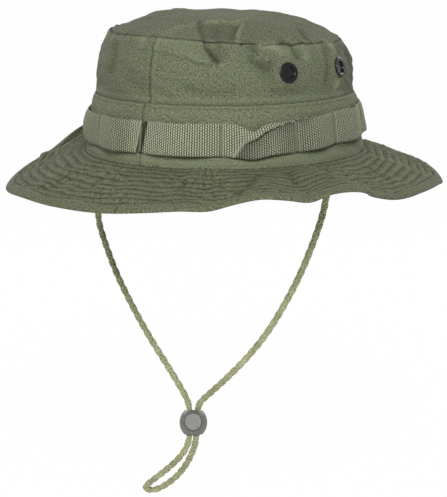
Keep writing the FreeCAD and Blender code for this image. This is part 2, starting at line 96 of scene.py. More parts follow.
# ---- small tools -----------------------------------------------------------------------------
def curve_through(points):
    """Smooth function through (x, y) points, read from a fine table."""
    xs = np.array([p[0] for p in points], float)
    ys = np.array([p[1] for p in points], float)
    slopes = np.zeros(len(xs))
    slopes[1:-1] = (ys[2:] - ys[:-2]) / (xs[2:] - xs[:-2])
    slopes[0] = (ys[1] - ys[0]) / (xs[1] - xs[0])
    slopes[-1] = (ys[-1] - ys[-2]) / (xs[-1] - xs[-2])
    fine = np.linspace(xs[0], xs[-1], 4000)
    i = np.clip(np.searchsorted(xs, fine, side="right") - 1, 0, len(xs) - 2)
    h = xs[i + 1] - xs[i]
    t = (fine - xs[i]) / h
    table = (ys[i] * (1 + 2 * t) * (1 - t) ** 2 + ys[i + 1] * t * t * (3 - 2 * t)
             + h * slopes[i] * t * (1 - t) ** 2 - h * slopes[i + 1] * t * t * (1 - t))
    return lambda x: np.interp(x, fine, table)


def smooth(low, high, x):
    t = np.clip((x - low) / (high - low), 0, 1)
    return t * t * (3 - 2 * t)


def bell(x, width):
    """1 at nought, falling smoothly away to both sides."""
    return np.exp(-(x / width) ** 2)


def turn(azimuth):
    """Azimuth brought into -180 to 180 degrees."""
    return (np.asarray(azimuth) + 180) % 360 - 180


def ripple(x, y, scale, seed, octaves=5):
    """Smooth repeatable noise, about -1 to 1, from a few waves of random direction."""
    rng = np.random.RandomState(seed)
    total = 0
    for _ in range(octaves):
        angle = rng.uniform(0, math.pi)
        wave = scale * rng.uniform(0.65, 1.6)
        phase = rng.uniform(0, 2 * math.pi, 2)
        along = (x * math.cos(angle) + y * math.sin(angle)) * 2 * math.pi / wave + phase[0]
        total = total + np.sin(along + 1.3 * np.sin(0.37 * along + phase[1]))
    return total / math.sqrt(octaves)


def unit(vectors):
    """The same vectors, each of length 1."""
    return vectors / np.maximum(np.linalg.norm(vectors, axis=-1, keepdims=True), 1e-9)


def run_along(points):
    """Distance from the first point to each point, along the line through them."""
    return np.concatenate([[0], np.cumsum(np.linalg.norm(np.diff(points, axis=0), axis=1))])


def points_at(points, length, where):
    """Points at the given distances along a line."""
    return np.stack([np.interp(where, length, points[:, k]) for k in range(3)], -1)


def put_in_scene(name, data):
    obj = bpy.data.objects.new(name, data)
    bpy.context.scene.collection.objects.link(obj)
    return obj


def add_object(name, mesh, material):
    obj = put_in_scene(name, mesh)
    mesh.materials.append(material)
    mesh.polygons.foreach_set("use_smooth", [True] * len(mesh.polygons))
    return obj


def grid_object(name, points, material, closed_u=True, closed_v=True, uv=None, flip=False,
                painted_shading=None):
    """A mesh from a grid of points in millimetres. uv holds one more column where it is closed.

    The painted shading at each point is painted shade, up to 1 darker, or painted light, down to -1
    lighter, on the cloth.
    """
    nu, nv = points.shape[:2]
    cu = nu if closed_u else nu - 1
    cv = nv if closed_v else nv - 1
    a, b = np.meshgrid(np.arange(cu), np.arange(cv), indexing="ij")
    a1, b1 = (a + 1) % nu, (b + 1) % nv
    corners = [a * nv + b, a1 * nv + b, a1 * nv + b1, a * nv + b1]
    steps = [(0, 0), (1, 0), (1, 1), (0, 1)]
    if flip:
        corners.reverse()
        steps.reverse()
    faces = np.stack(corners, -1).reshape(-1, 4)
    mesh = bpy.data.meshes.new(name)
    mesh.from_pydata((points.reshape(-1, 3) * MM).tolist(), [], faces.tolist())
    if uv is None:
        uv = arc_uv(points, closed_u, closed_v)
    layer = mesh.uv_layers.new(name="cloth")
    values = np.stack([uv[a + da, b + db] for da, db in steps], 2).reshape(-1, 2)
    layer.data.foreach_set("uv", values.astype(np.float32).ravel())
    # painted shade and painted light, stored as a point attribute that the materials read
    if painted_shading is not None:
        shades = mesh.attributes.new("painted_shading", "FLOAT", "POINT")
        shades.data.foreach_set("value", np.clip(painted_shading, -1, 1).astype(np.float32).ravel())
    mesh.update()
    return add_object(name, mesh, material)


def arc_uv(points, closed_u, closed_v):
    """Texture coordinates in metres, measured along the grid's middle lines."""
    def lengths(line, closed):
        return run_along(np.vstack([line, line[:1]]) if closed else line)

    u = lengths(points[:, points.shape[1] // 4], closed_u)
    v = lengths(points[0], closed_v)
    return np.stack(np.meshgrid(u, v, indexing="ij"), -1) * MM


def shell(name, outer, inner, material, painted_shading=None, inner_painted_shading=None):
    """Closed sheet of cloth from its outer and inner grids, rings round the hat."""
    points = np.concatenate([outer, inner[:, ::-1]], axis=1)
    # painted shade and painted light for both faces, nought where none is given
    painted_shadings = [np.zeros(g.shape[:2]) if t is None else t for g, t in ((outer, painted_shading),
                                                                    (inner, inner_painted_shading))]
    return grid_object(name, points, material, painted_shading=np.concatenate([painted_shadings[0], painted_shadings[1][:, ::-1]], 1))


def distance_to(x, y, line):
    """Distance of every (x, y) to a polyline, the signed side of it and the share along it."""
    best = np.full(np.shape(x), 1e9)
    side = np.zeros(np.shape(x))
    share = np.zeros(np.shape(x))
    count = len(line) - 1
    for k in range(count):
        (x0, y0), (x1, y1) = line[k], line[k + 1]
        dx, dy = x1 - x0, y1 - y0
        length = math.hypot(dx, dy)
        t = np.clip(((x - x0) * dx + (y - y0) * dy) / length ** 2, 0, 1)
        px, py = x - x0 - t * dx, y - y0 - t * dy
        d = np.hypot(px, py)
        near = d < best
        best = np.where(near, d, best)
        side = np.where(near, (dx * py - dy * px) / length, side)
        share = np.where(near, (k + t) / count, share)
    return best, side, share


def fade(share, ends=0.2):
    """1 along a line and 0 at its ends."""
    return smooth(0, ends, share) * smooth(0, ends, 1 - share)


def valley(x, y, line, depth, width):
    """A soft groove along a line, or a ridge where depth is negative."""
    d, _, share = distance_to(x, y, line)
    return -depth * bell(d, width) * fade(share)


def step(x, y, line, height, sharp, reach):
    """Cloth raised on the left of a line, falling sharply to its right."""
    d, side, share = distance_to(x, y, line)
    signed = np.where(side >= 0, d, -d)
    raised = smooth(-sharp, sharp, signed) * np.exp(-np.maximum(signed, 0) / reach)
    return height * raised * fade(share)


# ---- the hat's base shape --------------------------------------------------------------------
edge_height = curve_through([(a - 360, z) for a, z in BRIM_EDGE[-3:]] + BRIM_EDGE
                            + [(a + 360, z) for a, z in BRIM_EDGE[:3]])
side_lean = curve_through([(0, 0), (0.4, 0.03), (0.65, 0.24), (0.85, 0.62), (1, 1)])


def oval(azimuth, inset, height):
    """Points on the crown's oval; every argument may be a grid."""
    a = np.radians(azimuth)
    x = (HALF_WIDTH - inset) * np.cos(a)
    y = (HALF_LENGTH - inset) * np.sin(a)
    return np.stack(np.broadcast_arrays(x, y, height), -1)


def band_inset(height):
    rise = (height - BAND_BOTTOM) / (BAND_TOP - BAND_BOTTOM)
    return BAND_INSET * rise + (SIDE_INSET - BAND_INSET) * np.clip(rise, 0, 1) ** 8


def rim_sag(azimuth):
    """How far the crown's upper rim has sunk on the hat's left."""
    return 2.4 * bell(turn(azimuth + 138), 28)


def top_seam(azimuth):
    return TOP_SEAM - TOP_TILT * np.cos(np.radians(azimuth - TOP_TILT_AZIMUTH)) - rim_sag(azimuth)


def arc_from(azimuth, start, radius):
    """Distance round the hat in millimetres from an azimuth, on a circle of about its size."""
    return np.radians(turn(azimuth - start)) * radius


def around(count, steps):
    """Azimuths once round against the given steps, as a grid."""
    azimuth = -180 + 360 * np.arange(count) / count
    return np.meshgrid(azimuth, np.asarray(steps, float), indexing="ij")


def across(azimuth):
    """Distance round the hat in millimetres from the photograph's middle line."""
    return arc_from(azimuth, VIEW_MIDDLE, CROWN_ROUND)


# ---- materials -------------------------------------------------------------------------------
class Nodes:
    """A short way to write a node tree."""

    def __init__(self, name):
        self.material = bpy.data.materials.new(name)
        self.material.use_nodes = True
        self.tree = self.material.node_tree
        self.bsdf = self.tree.nodes["Principled BSDF"]

    def add(self, kind, links=None, **values):
        node = self.tree.nodes.new(kind)
        for key, value in values.items():
            setattr(node, key, value)
        for socket, source in (links or {}).items():
            self.feed(node.inputs[socket], source)
        return node

    def feed(self, socket, source):
        """Link a socket to another, or give it a value or an RGB triple."""
        if isinstance(source, bpy.types.NodeSocket):
            self.tree.links.new(source, socket)
        elif isinstance(source, tuple) and socket.type == "RGBA":
            socket.default_value = source + (1,)
        else:
            socket.default_value = source

    def math(self, operation, a, b=0.0):
        return self.add("ShaderNodeMath", {0: a, 1: b}, operation=operation).outputs[0]

    def mix(self, factor, a, b):
        """Mix two colours, each a socket or an RGB triple."""
        node = self.add("ShaderNodeMix", data_type="RGBA")
        for place, source in ((0, factor), (6, a), (7, b)):
            self.feed(node.inputs[place], source)
        return node.outputs[2]

    def noise(self, coords, scale, detail):
        return self.add("ShaderNodeTexNoise", {"Vector": coords, "Scale": scale,
                                               "Detail": detail}).outputs[0]

    def ramp(self, value, low, high, start=0.0, end=1.0):
        """Linear from start to end between low and high."""
        return self.add("ShaderNodeMapRange", {0: value, 1: low, 2: high, 3: start, 4: end},
                        clamp=True).outputs[0]

    def finish(self, colour, roughness, bumps=(), **fixed):
        """Link colour and roughness, chain the bumps and set the sockets that stay fixed."""
        self.feed(self.bsdf.inputs["Base Color"], colour)
        self.feed(self.bsdf.inputs["Roughness"], roughness)
        normal = None
        for height, distance, strength in bumps:
            bump = self.add("ShaderNodeBump", {"Height": height, "Distance": distance,
                                               "Strength": strength})
            if normal is not None:
                self.tree.links.new(normal, bump.inputs["Normal"])
            normal = bump.outputs[0]
        if normal is not None:
            self.tree.links.new(normal, self.bsdf.inputs["Normal"])
        for socket, value in fixed.items():
            self.bsdf.inputs[socket.replace("_", " ")].default_value = value
        return self.material


def tinted(colour, factor):
    return tuple(c * factor for c in colour)


def weave(n, coords, pitch):
    """Plain weave of two crossed sets of threads, and its height."""
    parts = n.add("ShaderNodeSeparateXYZ", {0: coords})
    warp = n.math("SINE", n.math("MULTIPLY", parts.outputs[0], math.pi / pitch))
    weft = n.math("SINE", n.math("MULTIPLY", parts.outputs[1], math.pi / pitch))
    return n.math("ABSOLUTE", n.math("MULTIPLY", warp, weft))


def stretched_noise(n, coords, across, along, detail=2.0):
    scaled = n.add("ShaderNodeMapping", {"Vector": coords, "Scale": (across, along, 1)})
    return n.noise(scaled.outputs[0], 1.0, detail)


def cloth_material(name, colour, contrast=1.0, grid=True):
    """Ripstop cloth: slubs in warp and weft, a faint square grid, slow changes of shade, and painted
    shade and painted light from the point attribute.
    """
    n = Nodes(name)
    coords = n.add("ShaderNodeTexCoord").outputs["UV"]
    height = weave(n, coords, 0.00055)
    warp = n.ramp(stretched_noise(n, coords, 1500, 620), 0.34, 0.66)
    weft = n.ramp(stretched_noise(n, coords, 600, 1500), 0.34, 0.66)
    fine = n.ramp(stretched_noise(n, coords, 2600, 2600), 0.3, 0.7)
    heather = n.math("ADD", n.math("MULTIPLY", warp, 0.42), n.math("MULTIPLY", weft, 0.36))
    heather = n.math("ADD", heather, n.math("MULTIPLY", fine, 0.22))
    slow = n.ramp(stretched_noise(n, coords, 34, 34, 3.0), 0.3, 0.7)
    dark, light = tinted(colour, 1 - 0.48 * contrast), tinted(colour, 1 + 0.55 * contrast)
    shade = n.mix(n.ramp(heather, 0.16, 0.84), dark, light)
    shade = n.mix(n.math("MULTIPLY", slow, 0.22), shade, tinted(colour, 1.3))
    # painted shade towards a fifth of the colour and painted light towards twice it, as the point
    # attribute gives
    painted_shading = n.add("ShaderNodeAttribute", attribute_name="painted_shading").outputs["Fac"]
    shade = n.mix(n.math("MULTIPLY", n.ramp(painted_shading, 0, 1), 0.85), shade, tinted(colour, 0.2))
    shade = n.mix(n.math("MULTIPLY", n.ramp(painted_shading, 0, -1), 0.8), shade, tinted(colour, 2.1))
    bumps = [(height, 0.00016, 0.5), (heather, 0.0004, 0.6)]
    if grid:
        parts = n.add("ShaderNodeSeparateXYZ", {0: coords})
        lines = None
        for axis in (0, 1):
            phase = n.math("FRACT", n.math("MULTIPLY", parts.outputs[axis], 1 / 0.0052))
            line = n.math("LESS_THAN", phase, 0.11)
            lines = line if lines is None else n.math("MAXIMUM", lines, line)
        shade = n.mix(n.math("MULTIPLY", lines, 0.12), shade, light)
        bumps.append((lines, 0.00012, 0.35))
    return n.finish(shade, 0.92, bumps, Sheen_Weight=0.04, Sheen_Roughness=0.5,
                    Specular_IOR_Level=0.2)


def webbing_material():
    """Cotton webbing: pale dotted picks on the modelled ribs, with painted shade in the grooves
    between them.
    """
    n = Nodes("webbing_cotton")
    coords = n.add("ShaderNodeTexCoord").outputs["UV"]
    parts = n.add("ShaderNodeSeparateXYZ", {0: coords})
    rib = n.math("ABSOLUTE", n.math("SINE", n.math("MULTIPLY", parts.outputs[0],
                                                   math.pi / (RIB_PITCH * MM))))
    row = n.math("MULTIPLY", n.math("FLOOR", n.math("DIVIDE", parts.outputs[0], RIB_PITCH * MM)),
                 math.pi)
    pick = n.math("SINE", n.math("ADD", row, n.math("MULTIPLY", parts.outputs[1],
                                                    2 * math.pi / 0.0017)))
    dots = n.ramp(n.math("ADD", n.math("MULTIPLY", pick, 0.34), rib), 0.46, 0.98)
    noise = n.ramp(stretched_noise(n, coords, 900, 1300), 0.3, 0.7)
    mix = n.math("ADD", n.math("MULTIPLY", dots, 0.72), n.math("MULTIPLY", noise, 0.28))
    # pale on the ribs' picks, painted shade near black in the grooves between them
    colour = n.mix(mix, (0.008, 0.009, 0.004), (0.58, 0.61, 0.42))
    slow = stretched_noise(n, coords, 40, 40)
    colour = n.mix(n.math("MULTIPLY", slow, 0.2), colour, (0.17, 0.185, 0.115))
    # painted shade and painted light from the point attribute: near black in the join, behind the
    # fold and at the tacks, pale on rolled edges
    painted_shading = n.add("ShaderNodeAttribute", attribute_name="painted_shading").outputs["Fac"]
    colour = n.mix(n.math("MULTIPLY", n.ramp(painted_shading, 0, 1), 0.93), colour, (0.008, 0.009, 0.005))
    colour = n.mix(n.math("MULTIPLY", n.ramp(painted_shading, 0, -1), 0.7), colour, (0.42, 0.45, 0.31))
    return n.finish(colour, 0.9, [(dots, 0.0004, 0.7), (noise, 0.0003, 0.5)],
                    Sheen_Weight=0.05, Sheen_Roughness=0.5, Specular_IOR_Level=0.2)


def thread_material(name, dark, light, scale=2600.0):
    """Twisted thread, cord or tape: fine fibres along it."""
    n = Nodes(name)
    coords = n.add("ShaderNodeTexCoord").outputs["Object"]
    noise, slow = n.noise(coords, scale, 3.0), n.noise(coords, 90.0, 2.0)
    mix = n.math("ADD", n.math("MULTIPLY", noise, 0.7), n.math("MULTIPLY", slow, 0.3))
    return n.finish(n.mix(n.ramp(mix, 0.3, 0.7), dark, light), 0.8, [(noise, 0.00012, 0.6)],
                    Sheen_Weight=0.1, Specular_IOR_Level=0.3)


def enamel_material():
    """Black enamelled brass with faint wear in random patches."""
    n = Nodes("black_enamel")
    coords = n.add("ShaderNodeTexCoord").outputs["Object"]
    noise = n.noise(coords, 700.0, 4.0)
    colour = n.mix(n.ramp(noise, 0.35, 0.75), (0.004, 0.004, 0.005), (0.012, 0.012, 0.014))
    rough = n.ramp(noise, 0.3, 0.7, 0.18, 0.34)
    return n.finish(colour, rough, [(noise, 0.00006, 0.3)], Specular_IOR_Level=0.6)


def plastic_material(name, colour):
    """Moulded acetal: satin, with a fine grain and small scuffs."""
    n = Nodes(name)
    coords = n.add("ShaderNodeTexCoord").outputs["Object"]
    grain, scuff = n.noise(coords, 1800.0, 3.0), n.noise(coords, 220.0, 4.0)
    shade = n.mix(n.ramp(scuff, 0.42, 0.72), colour, tinted(colour, 1.22))
    rough = n.ramp(scuff, 0.3, 0.7, 0.36, 0.52)
    return n.finish(shade, rough, [(grain, 0.00005, 0.35)], Specular_IOR_Level=0.45)


def steel_material():
    """Bright spring wire with drawing marks."""
    n = Nodes("spring_wire")
    coords = n.add("ShaderNodeTexCoord").outputs["Object"]
    noise = n.noise(coords, 900.0, 2.0)
    rough = n.ramp(noise, 0.3, 0.7, 0.2, 0.35)
    return n.finish((0.55, 0.55, 0.56), rough, [(noise, 0.00003, 0.3)], Metallic=1.0)


# Crown, band, brim and hem are one cloth; their brightness differs by part as painted light and
# shade, the band lightest and the brim darkest.
CROWN_CLOTH = cloth_material("crown_cloth", (0.127, 0.142, 0.085), 1.6)
BAND_CLOTH = cloth_material("band_cloth", (0.142, 0.158, 0.095), 1.5)
BRIM_CLOTH = cloth_material("brim_cloth", (0.096, 0.108, 0.060), 1.6)
HEM_CLOTH = cloth_material("hem_cloth", (0.114, 0.126, 0.073), 1.8)
LINING = cloth_material("sweatband_twill", (0.110, 0.122, 0.072), 0.6, grid=False)
STIFFENER = cloth_material("interlining_felt", (0.55, 0.54, 0.49), 0.4, grid=False)
WEBBING = webbing_material()
THREAD = thread_material("sewing_thread", (0.085, 0.095, 0.052), (0.190, 0.205, 0.125))
TACK_THREAD = thread_material("tack_thread", (0.10, 0.11, 0.062), (0.26, 0.275, 0.175))
CORD_YARN = thread_material("cord_yarn", (0.105, 0.112, 0.035), (0.60, 0.61, 0.37), 1500.0)
ENAMEL = enamel_material()
LOCK_PLASTIC = plastic_material("lock_plastic", (0.150, 0.154, 0.134))
BUTTON_PLASTIC = plastic_material("button_plastic", (0.178, 0.182, 0.168))
SPRING_WIRE = steel_material()


# ---- camera ----------------------------------------------------------------------------------
def make_camera():
    """The photograph's three-quarter back view, a little above the brim."""
    azimuth = math.radians(VIEW_AZIMUTH)
    eye = Vector((math.sin(azimuth) * VIEW_DISTANCE, -math.cos(azimuth) * VIEW_DISTANCE,
                  VIEW_HEIGHT))
    aim = Vector((AIM_LEFT * math.cos(azimuth), AIM_LEFT * math.sin(azimuth), AIM_HEIGHT))
    data = bpy.data.cameras.new("camera")
    data.lens = LENS
    data.sensor_width = SENSOR
    camera = put_in_scene("camera", data)
    camera.location = eye
    camera.rotation_euler = (aim - eye).to_track_quat("-Z", "Y").to_euler()
    bpy.context.scene.camera = camera


make_camera()


# ---- crown -----------------------------------------------------------------------------------
# Wrinkles are drawn on the crown's unrolled cloth: x is millimetres round the hat from the
# middle of the photograph's view, y is millimetres up the side and on over the top.
SIDE_RUN = 44.0                 # from the band seam up to the top seam
TOP_FOLDS = [                   # step: points, height, sharpness, reach
    ([(-74, 36), (-58, 35), (-42, 34), (-28, 32), (-17, 28.5), (-8, 28), (-2, 29)], 2.4, 1.0, 11),
    ([(-15, 46), (-12, 39), (-7, 33), (-2, 27)], -3.0, 0.9, 8),
    ([(-40, 84), (-31, 73), (-23, 61), (-17, 51), (-15, 45)], -1.9, 1.0, 9),
    ([(10, 46), (12, 56), (17, 67), (25, 77)], -2.0, 1.0, 8),
]
VALLEYS = [                     # points, depth, width
    ([(-12, 42), (-8, 35), (-3, 28)], 1.8, 2.4),
    ([(-4, 70), (-4, 58), (-3, 48)], 0.9, 6.0),
    ([(12, 44), (21, 41), (29, 37)], 1.5, 2.2),
    ([(18, 36), (24, 31), (33, 28), (42, 31)], 1.9, 3.4),
    ([(24, 30), (34, 22), (44, 18)], 1.1, 4.5),
    ([(54, 46), (57, 41), (59, 31)], 1.8, 2.4),
    ([(72, 46), (77, 53), (84, 60)], 1.7, 3.2),
    ([(90, 45), (87, 32), (84, 18), (80, 6)], 1.5, 3.5),
    ([(106, 42), (104, 28), (102, 12)], 1.7, 4.0),
    ([(-100, 42), (-92, 28), (-96, 12)], 1.4, 5.0),
    ([(-76, 20), (-60, 12), (-44, 14)], 0.8, 5.0),
    ([(-30, 12), (-8, 7), (14, 9)], 0.8, 4.0),
    ([(30, 10), (48, 6), (66, 9)], 0.9, 4.0),
    ([(126, 40), (130, 22), (124, 8)], 1.5, 5.0),
    ([(160, 38), (175, 30), (190, 34)], 1.6, 5.0),
    ([(220, 36), (212, 20), (222, 6)], 1.5, 5.0),
    ([(250, 40), (262, 30), (280, 28)], 1.6, 5.0),
    ([(-140, 36), (-150, 24), (-146, 8)], 1.4, 5.0),
]
RIDGES = [
    ([(-34, 77), (-14, 76), (4, 76), (26, 80), (48, 87)], -2.2, 2.4),
    ([(27, 78), (20, 67), (15, 57), (12, 47)], -2.0, 2.0),
    ([(-50, 46), (-45, 56), (-36, 66), (-28, 73)], -1.2, 3.2),
    ([(34, 46), (44, 39), (54, 38)], -1.2, 3.0),
    ([(64, 44), (66, 38), (64, 28)], -1.0, 2.6),
    ([(104, 50), (101, 38), (98, 26), (95, 13), (91, 1)], -2.0, 2.8),
]

TOP_SLUMP = [(-64, -1.6, 20), (-10, -2.2, 30), (40, 1.6, 22)]    # across the view, height, width


def crown_ridges(azimuth, run):
    x = across(azimuth)
    return sum(valley(x, run, line, depth, width) for line, depth, width in RIDGES)


def crown_folds(azimuth, run):
    x = across(azimuth)
    total = crown_ridges(azimuth, run)
    for line, depth, width in VALLEYS:
        total += valley(x, run, line, depth, width)
    for line, height, sharp, reach in TOP_FOLDS:
        total += step(x, run, line, height, sharp, reach)
    return total


def crown_painted_shading(azimuth, run):
    """Painted shading on the crown: painted shade in the depth of folds and seams, over the top and
    towards both ends where the light falls off, and painted light on crests and beside the seams.
    """
    x = across(azimuth)
    # painted shade in fold depths and painted light on crests and ridges, and painted shade in the
    # top and band seams
    painted_shading = np.clip(-0.24 * crown_folds(azimuth, run), -0.15, 0.8)
    painted_shading = painted_shading - 0.18 * crown_ridges(azimuth, run)
    painted_shading = painted_shading + 0.7 * bell(run - SIDE_RUN, 0.6) + 0.3 * bell(run, 0.6)
    # painted shade over the top, at the left end, and at the right end where the side turns from the
    # light
    painted_shading += 0.1 * smooth(SIDE_RUN, SIDE_RUN + 3, run)
    painted_shading += 0.12 * smooth(-60, -95, x) * smooth(-150, -130, x)
    painted_shading += 0.4 * smooth(98, 110, x) * smooth(160, 130, x) * smooth(SIDE_RUN + 1, SIDE_RUN - 1, run)
    # painted light in bands beside the top seam and the band seam
    painted_shading -= 0.25 * bell(run - SIDE_RUN + 2.2, 1.3)
    painted_shading -= 0.25 * bell(run - 3.6, 1.6)
    wrap = np.radians(azimuth) * CROWN_ROUND
    # painted shade and painted light of the puckers along the top seam
    painted_shading += 0.3 * bell(run - SIDE_RUN, 4.5) * ripple(wrap, run * 0.25, 11, 7)
    # painted shade in the side seams, with painted light beside them
    for seam_azimuth in (SIDE_SEAM, SIDE_SEAM + 180):
        arc = arc_from(azimuth, seam_azimuth, CROWN_ROUND)
        side = smooth(SIDE_RUN + 1, SIDE_RUN - 1, run)
        painted_shading += side * (0.8 * bell(arc, 0.55) - 0.2 * bell(arc - 3.2, 1.5))
    return painted_shading


def crown_relief(azimuth, run):
    """Height of the crown cloth above its plain shape: folds, puckers at seams and slump."""
    total = crown_folds(azimuth, run)
    wrap = np.radians(azimuth)
    rx, ry = 92 * np.cos(wrap), 92 * np.sin(wrap)
    total += 0.55 * ripple(rx + 0.3 * run, ry + run, 46, 3) - 0.7
    total += 0.30 * ripple(rx * 1.1, ry + 1.4 * run, 17, 5)
    seam = bell(run - SIDE_RUN, 5.0)
    total += 0.55 * seam * ripple(92 * wrap, run * 0.25, 11, 7)
    low = bell(run, 4.5)
    total += 0.35 * low * ripple(92 * wrap, run * 0.2, 9, 8)
    total += seam_dip(run, SIDE_RUN, 0.8, 0.9) + seam_dip(run, 0.0, 0.3, 0.7)
    for seam_azimuth in (SIDE_SEAM, SIDE_SEAM + 180):
        arc = arc_from(azimuth, seam_azimuth, CROWN_ROUND)
        side = np.clip(smooth(SIDE_RUN + 2, SIDE_RUN - 2, run), 0, 1)
        total += side * (-0.7 * bell(arc, 0.7) + 0.35 * bell(arc - 2.6, 2.2))
    return total


def seam_dip(run, place, depth, width):
    return -depth * bell(run - place, width)


def side_base(azimuth, rise):
    low = BAND_TOP + 0.15
    height = low + rise * (top_seam(azimuth) - low)
    return oval(azimuth, SIDE_INSET + side_lean(rise) * (TOP_INSET - SIDE_INSET), height)


def top_base(azimuth, span):
    """The dome, span going from 1 at the seam to 0 in the middle."""
    inset = TOP_INSET + 0.3
    points = oval(azimuth, inset, 0) * span[..., None]
    half = HALF_WIDTH - inset
    lean = math.radians(TOP_TILT_AZIMUTH)
    tilt = TOP_TILT * (points[..., 0] * math.cos(lean) + points[..., 1] * math.sin(lean)) / half
    points[..., 2] = TOP_SEAM - tilt + DOME_RISE * (1 - span ** 3) - rim_sag(azimuth) * span ** 2
    return points


def surface_normal(surface, u, v, du, dv):
    """Outward unit normal of a surface given as a function of azimuth and a second step."""
    along = surface(u + du, v) - surface(u - du, v)
    up = surface(u, v + dv) - surface(u, v - dv)
    return unit(np.cross(along, up))


def side_surface(azimuth, rise, out=0.0):
    normal = surface_normal(side_base, azimuth, rise, 0.2, 0.005)
    relief = crown_relief(azimuth, rise * SIDE_RUN) * eyelet_calm(azimuth, rise)
    free = smooth(0, 0.08, rise)                  # held flat where it is sewn to the band
    relief = relief * free - 0.25 * (1 - free)
    return side_base(azimuth, rise) + normal * (relief + out)[..., None]


def eyelet_centre(azimuth):
    """Middle of an eyelet on the plain side panel, and the panel's outward normal there."""
    low = BAND_TOP + 0.15
    rise = (EYELET_HEIGHT - low) / (top_seam(azimuth) - low)
    azimuth, rise = np.array(azimuth), np.array(rise)
    return side_base(azimuth, rise), surface_normal(side_base, azimuth, rise, 1.0, 0.02)


def eyelet_calm(azimuth, rise):
    """0 under the eyelets, where the cloth is pressed flat, and 1 away from them."""
    points = side_base(azimuth, rise)
    calm = np.ones(np.shape(azimuth))
    for eyelet in EYELETS:
        centre, _ = eyelet_centre(eyelet)
        calm *= smooth(6.5, 13, np.linalg.norm(points - centre, axis=-1))
    return calm


def top_surface(azimuth, span, out=0.0):
    base = top_base(azimuth, span)
    normal = surface_normal(lambda a, s: top_base(a, -s), azimuth, -span, 0.2, 0.004)
    reach = (HALF_WIDTH + HALF_LENGTH) / 2 - TOP_INSET
    calm = smooth(0.25, 0.6, span)
    field = 0.7 * ripple(base[..., 0], base[..., 1], 60, 11)
    field += 0.2 * ripple(base[..., 0], base[..., 1], 20, 12)
    relief = crown_relief(azimuth, SIDE_RUN + (1 - span) * reach) * calm
    relief += field * (1 - 0.6 * calm) * smooth(1.0, 0.93, span)
    sideways = base[..., 0] * math.cos(math.radians(VIEW_AZIMUTH))
    sideways = sideways + base[..., 1] * math.sin(math.radians(VIEW_AZIMUTH))
    for place, height, width in TOP_SLUMP:
        relief += height * bell(sideways - place, width)
    return base + normal * (relief + out)[..., None]


def build_crown():
    azimuth, rise = around(900, np.concatenate([[-0.07, -0.02], np.linspace(0, 1, 88)]))
    tuck = -0.3 * smooth(0, -0.02, rise)          # the seam allowance, behind the band
    outer = side_surface(azimuth, rise, tuck)
    inner = side_surface(azimuth, rise, tuck - CLOTH)[:, ::6]
    # the side panel carries the crown's painted shade and painted light
    side = shell("crown_side", outer, inner, CROWN_CLOTH,
                 crown_painted_shading(azimuth, rise * SIDE_RUN) * eyelet_calm(azimuth, rise))
    cut_eyelets(side)
    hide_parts("crown_side_panel_right", "crown_side_panel_left")

    span = np.linspace(1, 0.0005, 110)
    azimuth, span = around(600, span)
    under = top_surface(azimuth, span, -CLOTH)[:, ::-4]
    upper = top_surface(azimuth, span)
    skirt = upper[:, :1] * np.array([0.985, 0.985, 1]) - np.array([0, 0, 2.8])
    points = np.concatenate([skirt, upper, under], 1)
    # the crown's painted shade and painted light carried over the top panel, none on its underside
    painted_shading = crown_painted_shading(azimuth, SIDE_RUN + (1 - span) * 81)
    painted_shading = np.concatenate([painted_shading[:, :1], painted_shading, np.zeros(under.shape[:2])], 1)
    top = grid_object("crown_top", points, CROWN_CLOTH, uv=flat_uv(points), painted_shading=painted_shading)
    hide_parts("crown_top_panel")
    return [side, top]


def cut_eyelets(obj):
    """Take the cloth away where the eyelets' barrels go through."""
    bm = bmesh.new()
    bm.from_mesh(obj.data)
    gone = set()
    for eyelet in EYELETS:
        centre, _ = eyelet_centre(eyelet)
        middle = Vector(centre * MM)
        gone.update(f for f in bm.faces if (f.calc_center_median() - middle).length < 0.0052)
    bmesh.ops.delete(bm, geom=list(gone), context="FACES")
    bm.to_mesh(obj.data)
    bm.free()


def flat_uv(points):
    """Texture coordinates in metres straight down onto the cloth."""
    uv = points[..., :2] * MM
    uv = np.concatenate([uv, uv[:1]], 0)
    return np.concatenate([uv, uv[:, :1]], 1)


def band_surface(azimuth, z, out=0.0):
    def plain(a, height):
        return oval(a, band_inset(height), height)

    arc = np.radians(azimuth) * BAND_ROUND
    relief = 0.25 * ripple(arc, z * 3, 30, 21) + 0.18 * ripple(arc, z, 12, 22)
    relief += seam_dip(z, BAND_TOP, 0.25, 0.7) + seam_dip(z, BAND_TOP - 2.6, 0.35, 0.6)
    relief += 0.35 * bell(z - BAND_TOP + 4.5, 3.5)
    relief += seam_dip(z, BAND_BOTTOM + 2.2, 0.3, 0.5)
    for seam_azimuth in (SIDE_SEAM - 2, SIDE_SEAM + 180):
        d = arc_from(azimuth, seam_azimuth, BAND_ROUND)
        relief += -0.6 * bell(d, 0.7) + 0.4 * bell(d - 2.4, 2)
    normal = surface_normal(plain, azimuth, z, 0.2, 0.3)
    return plain(azimuth, z) + normal * (np.clip(relief, -0.5, 0.6) + out)[..., None]


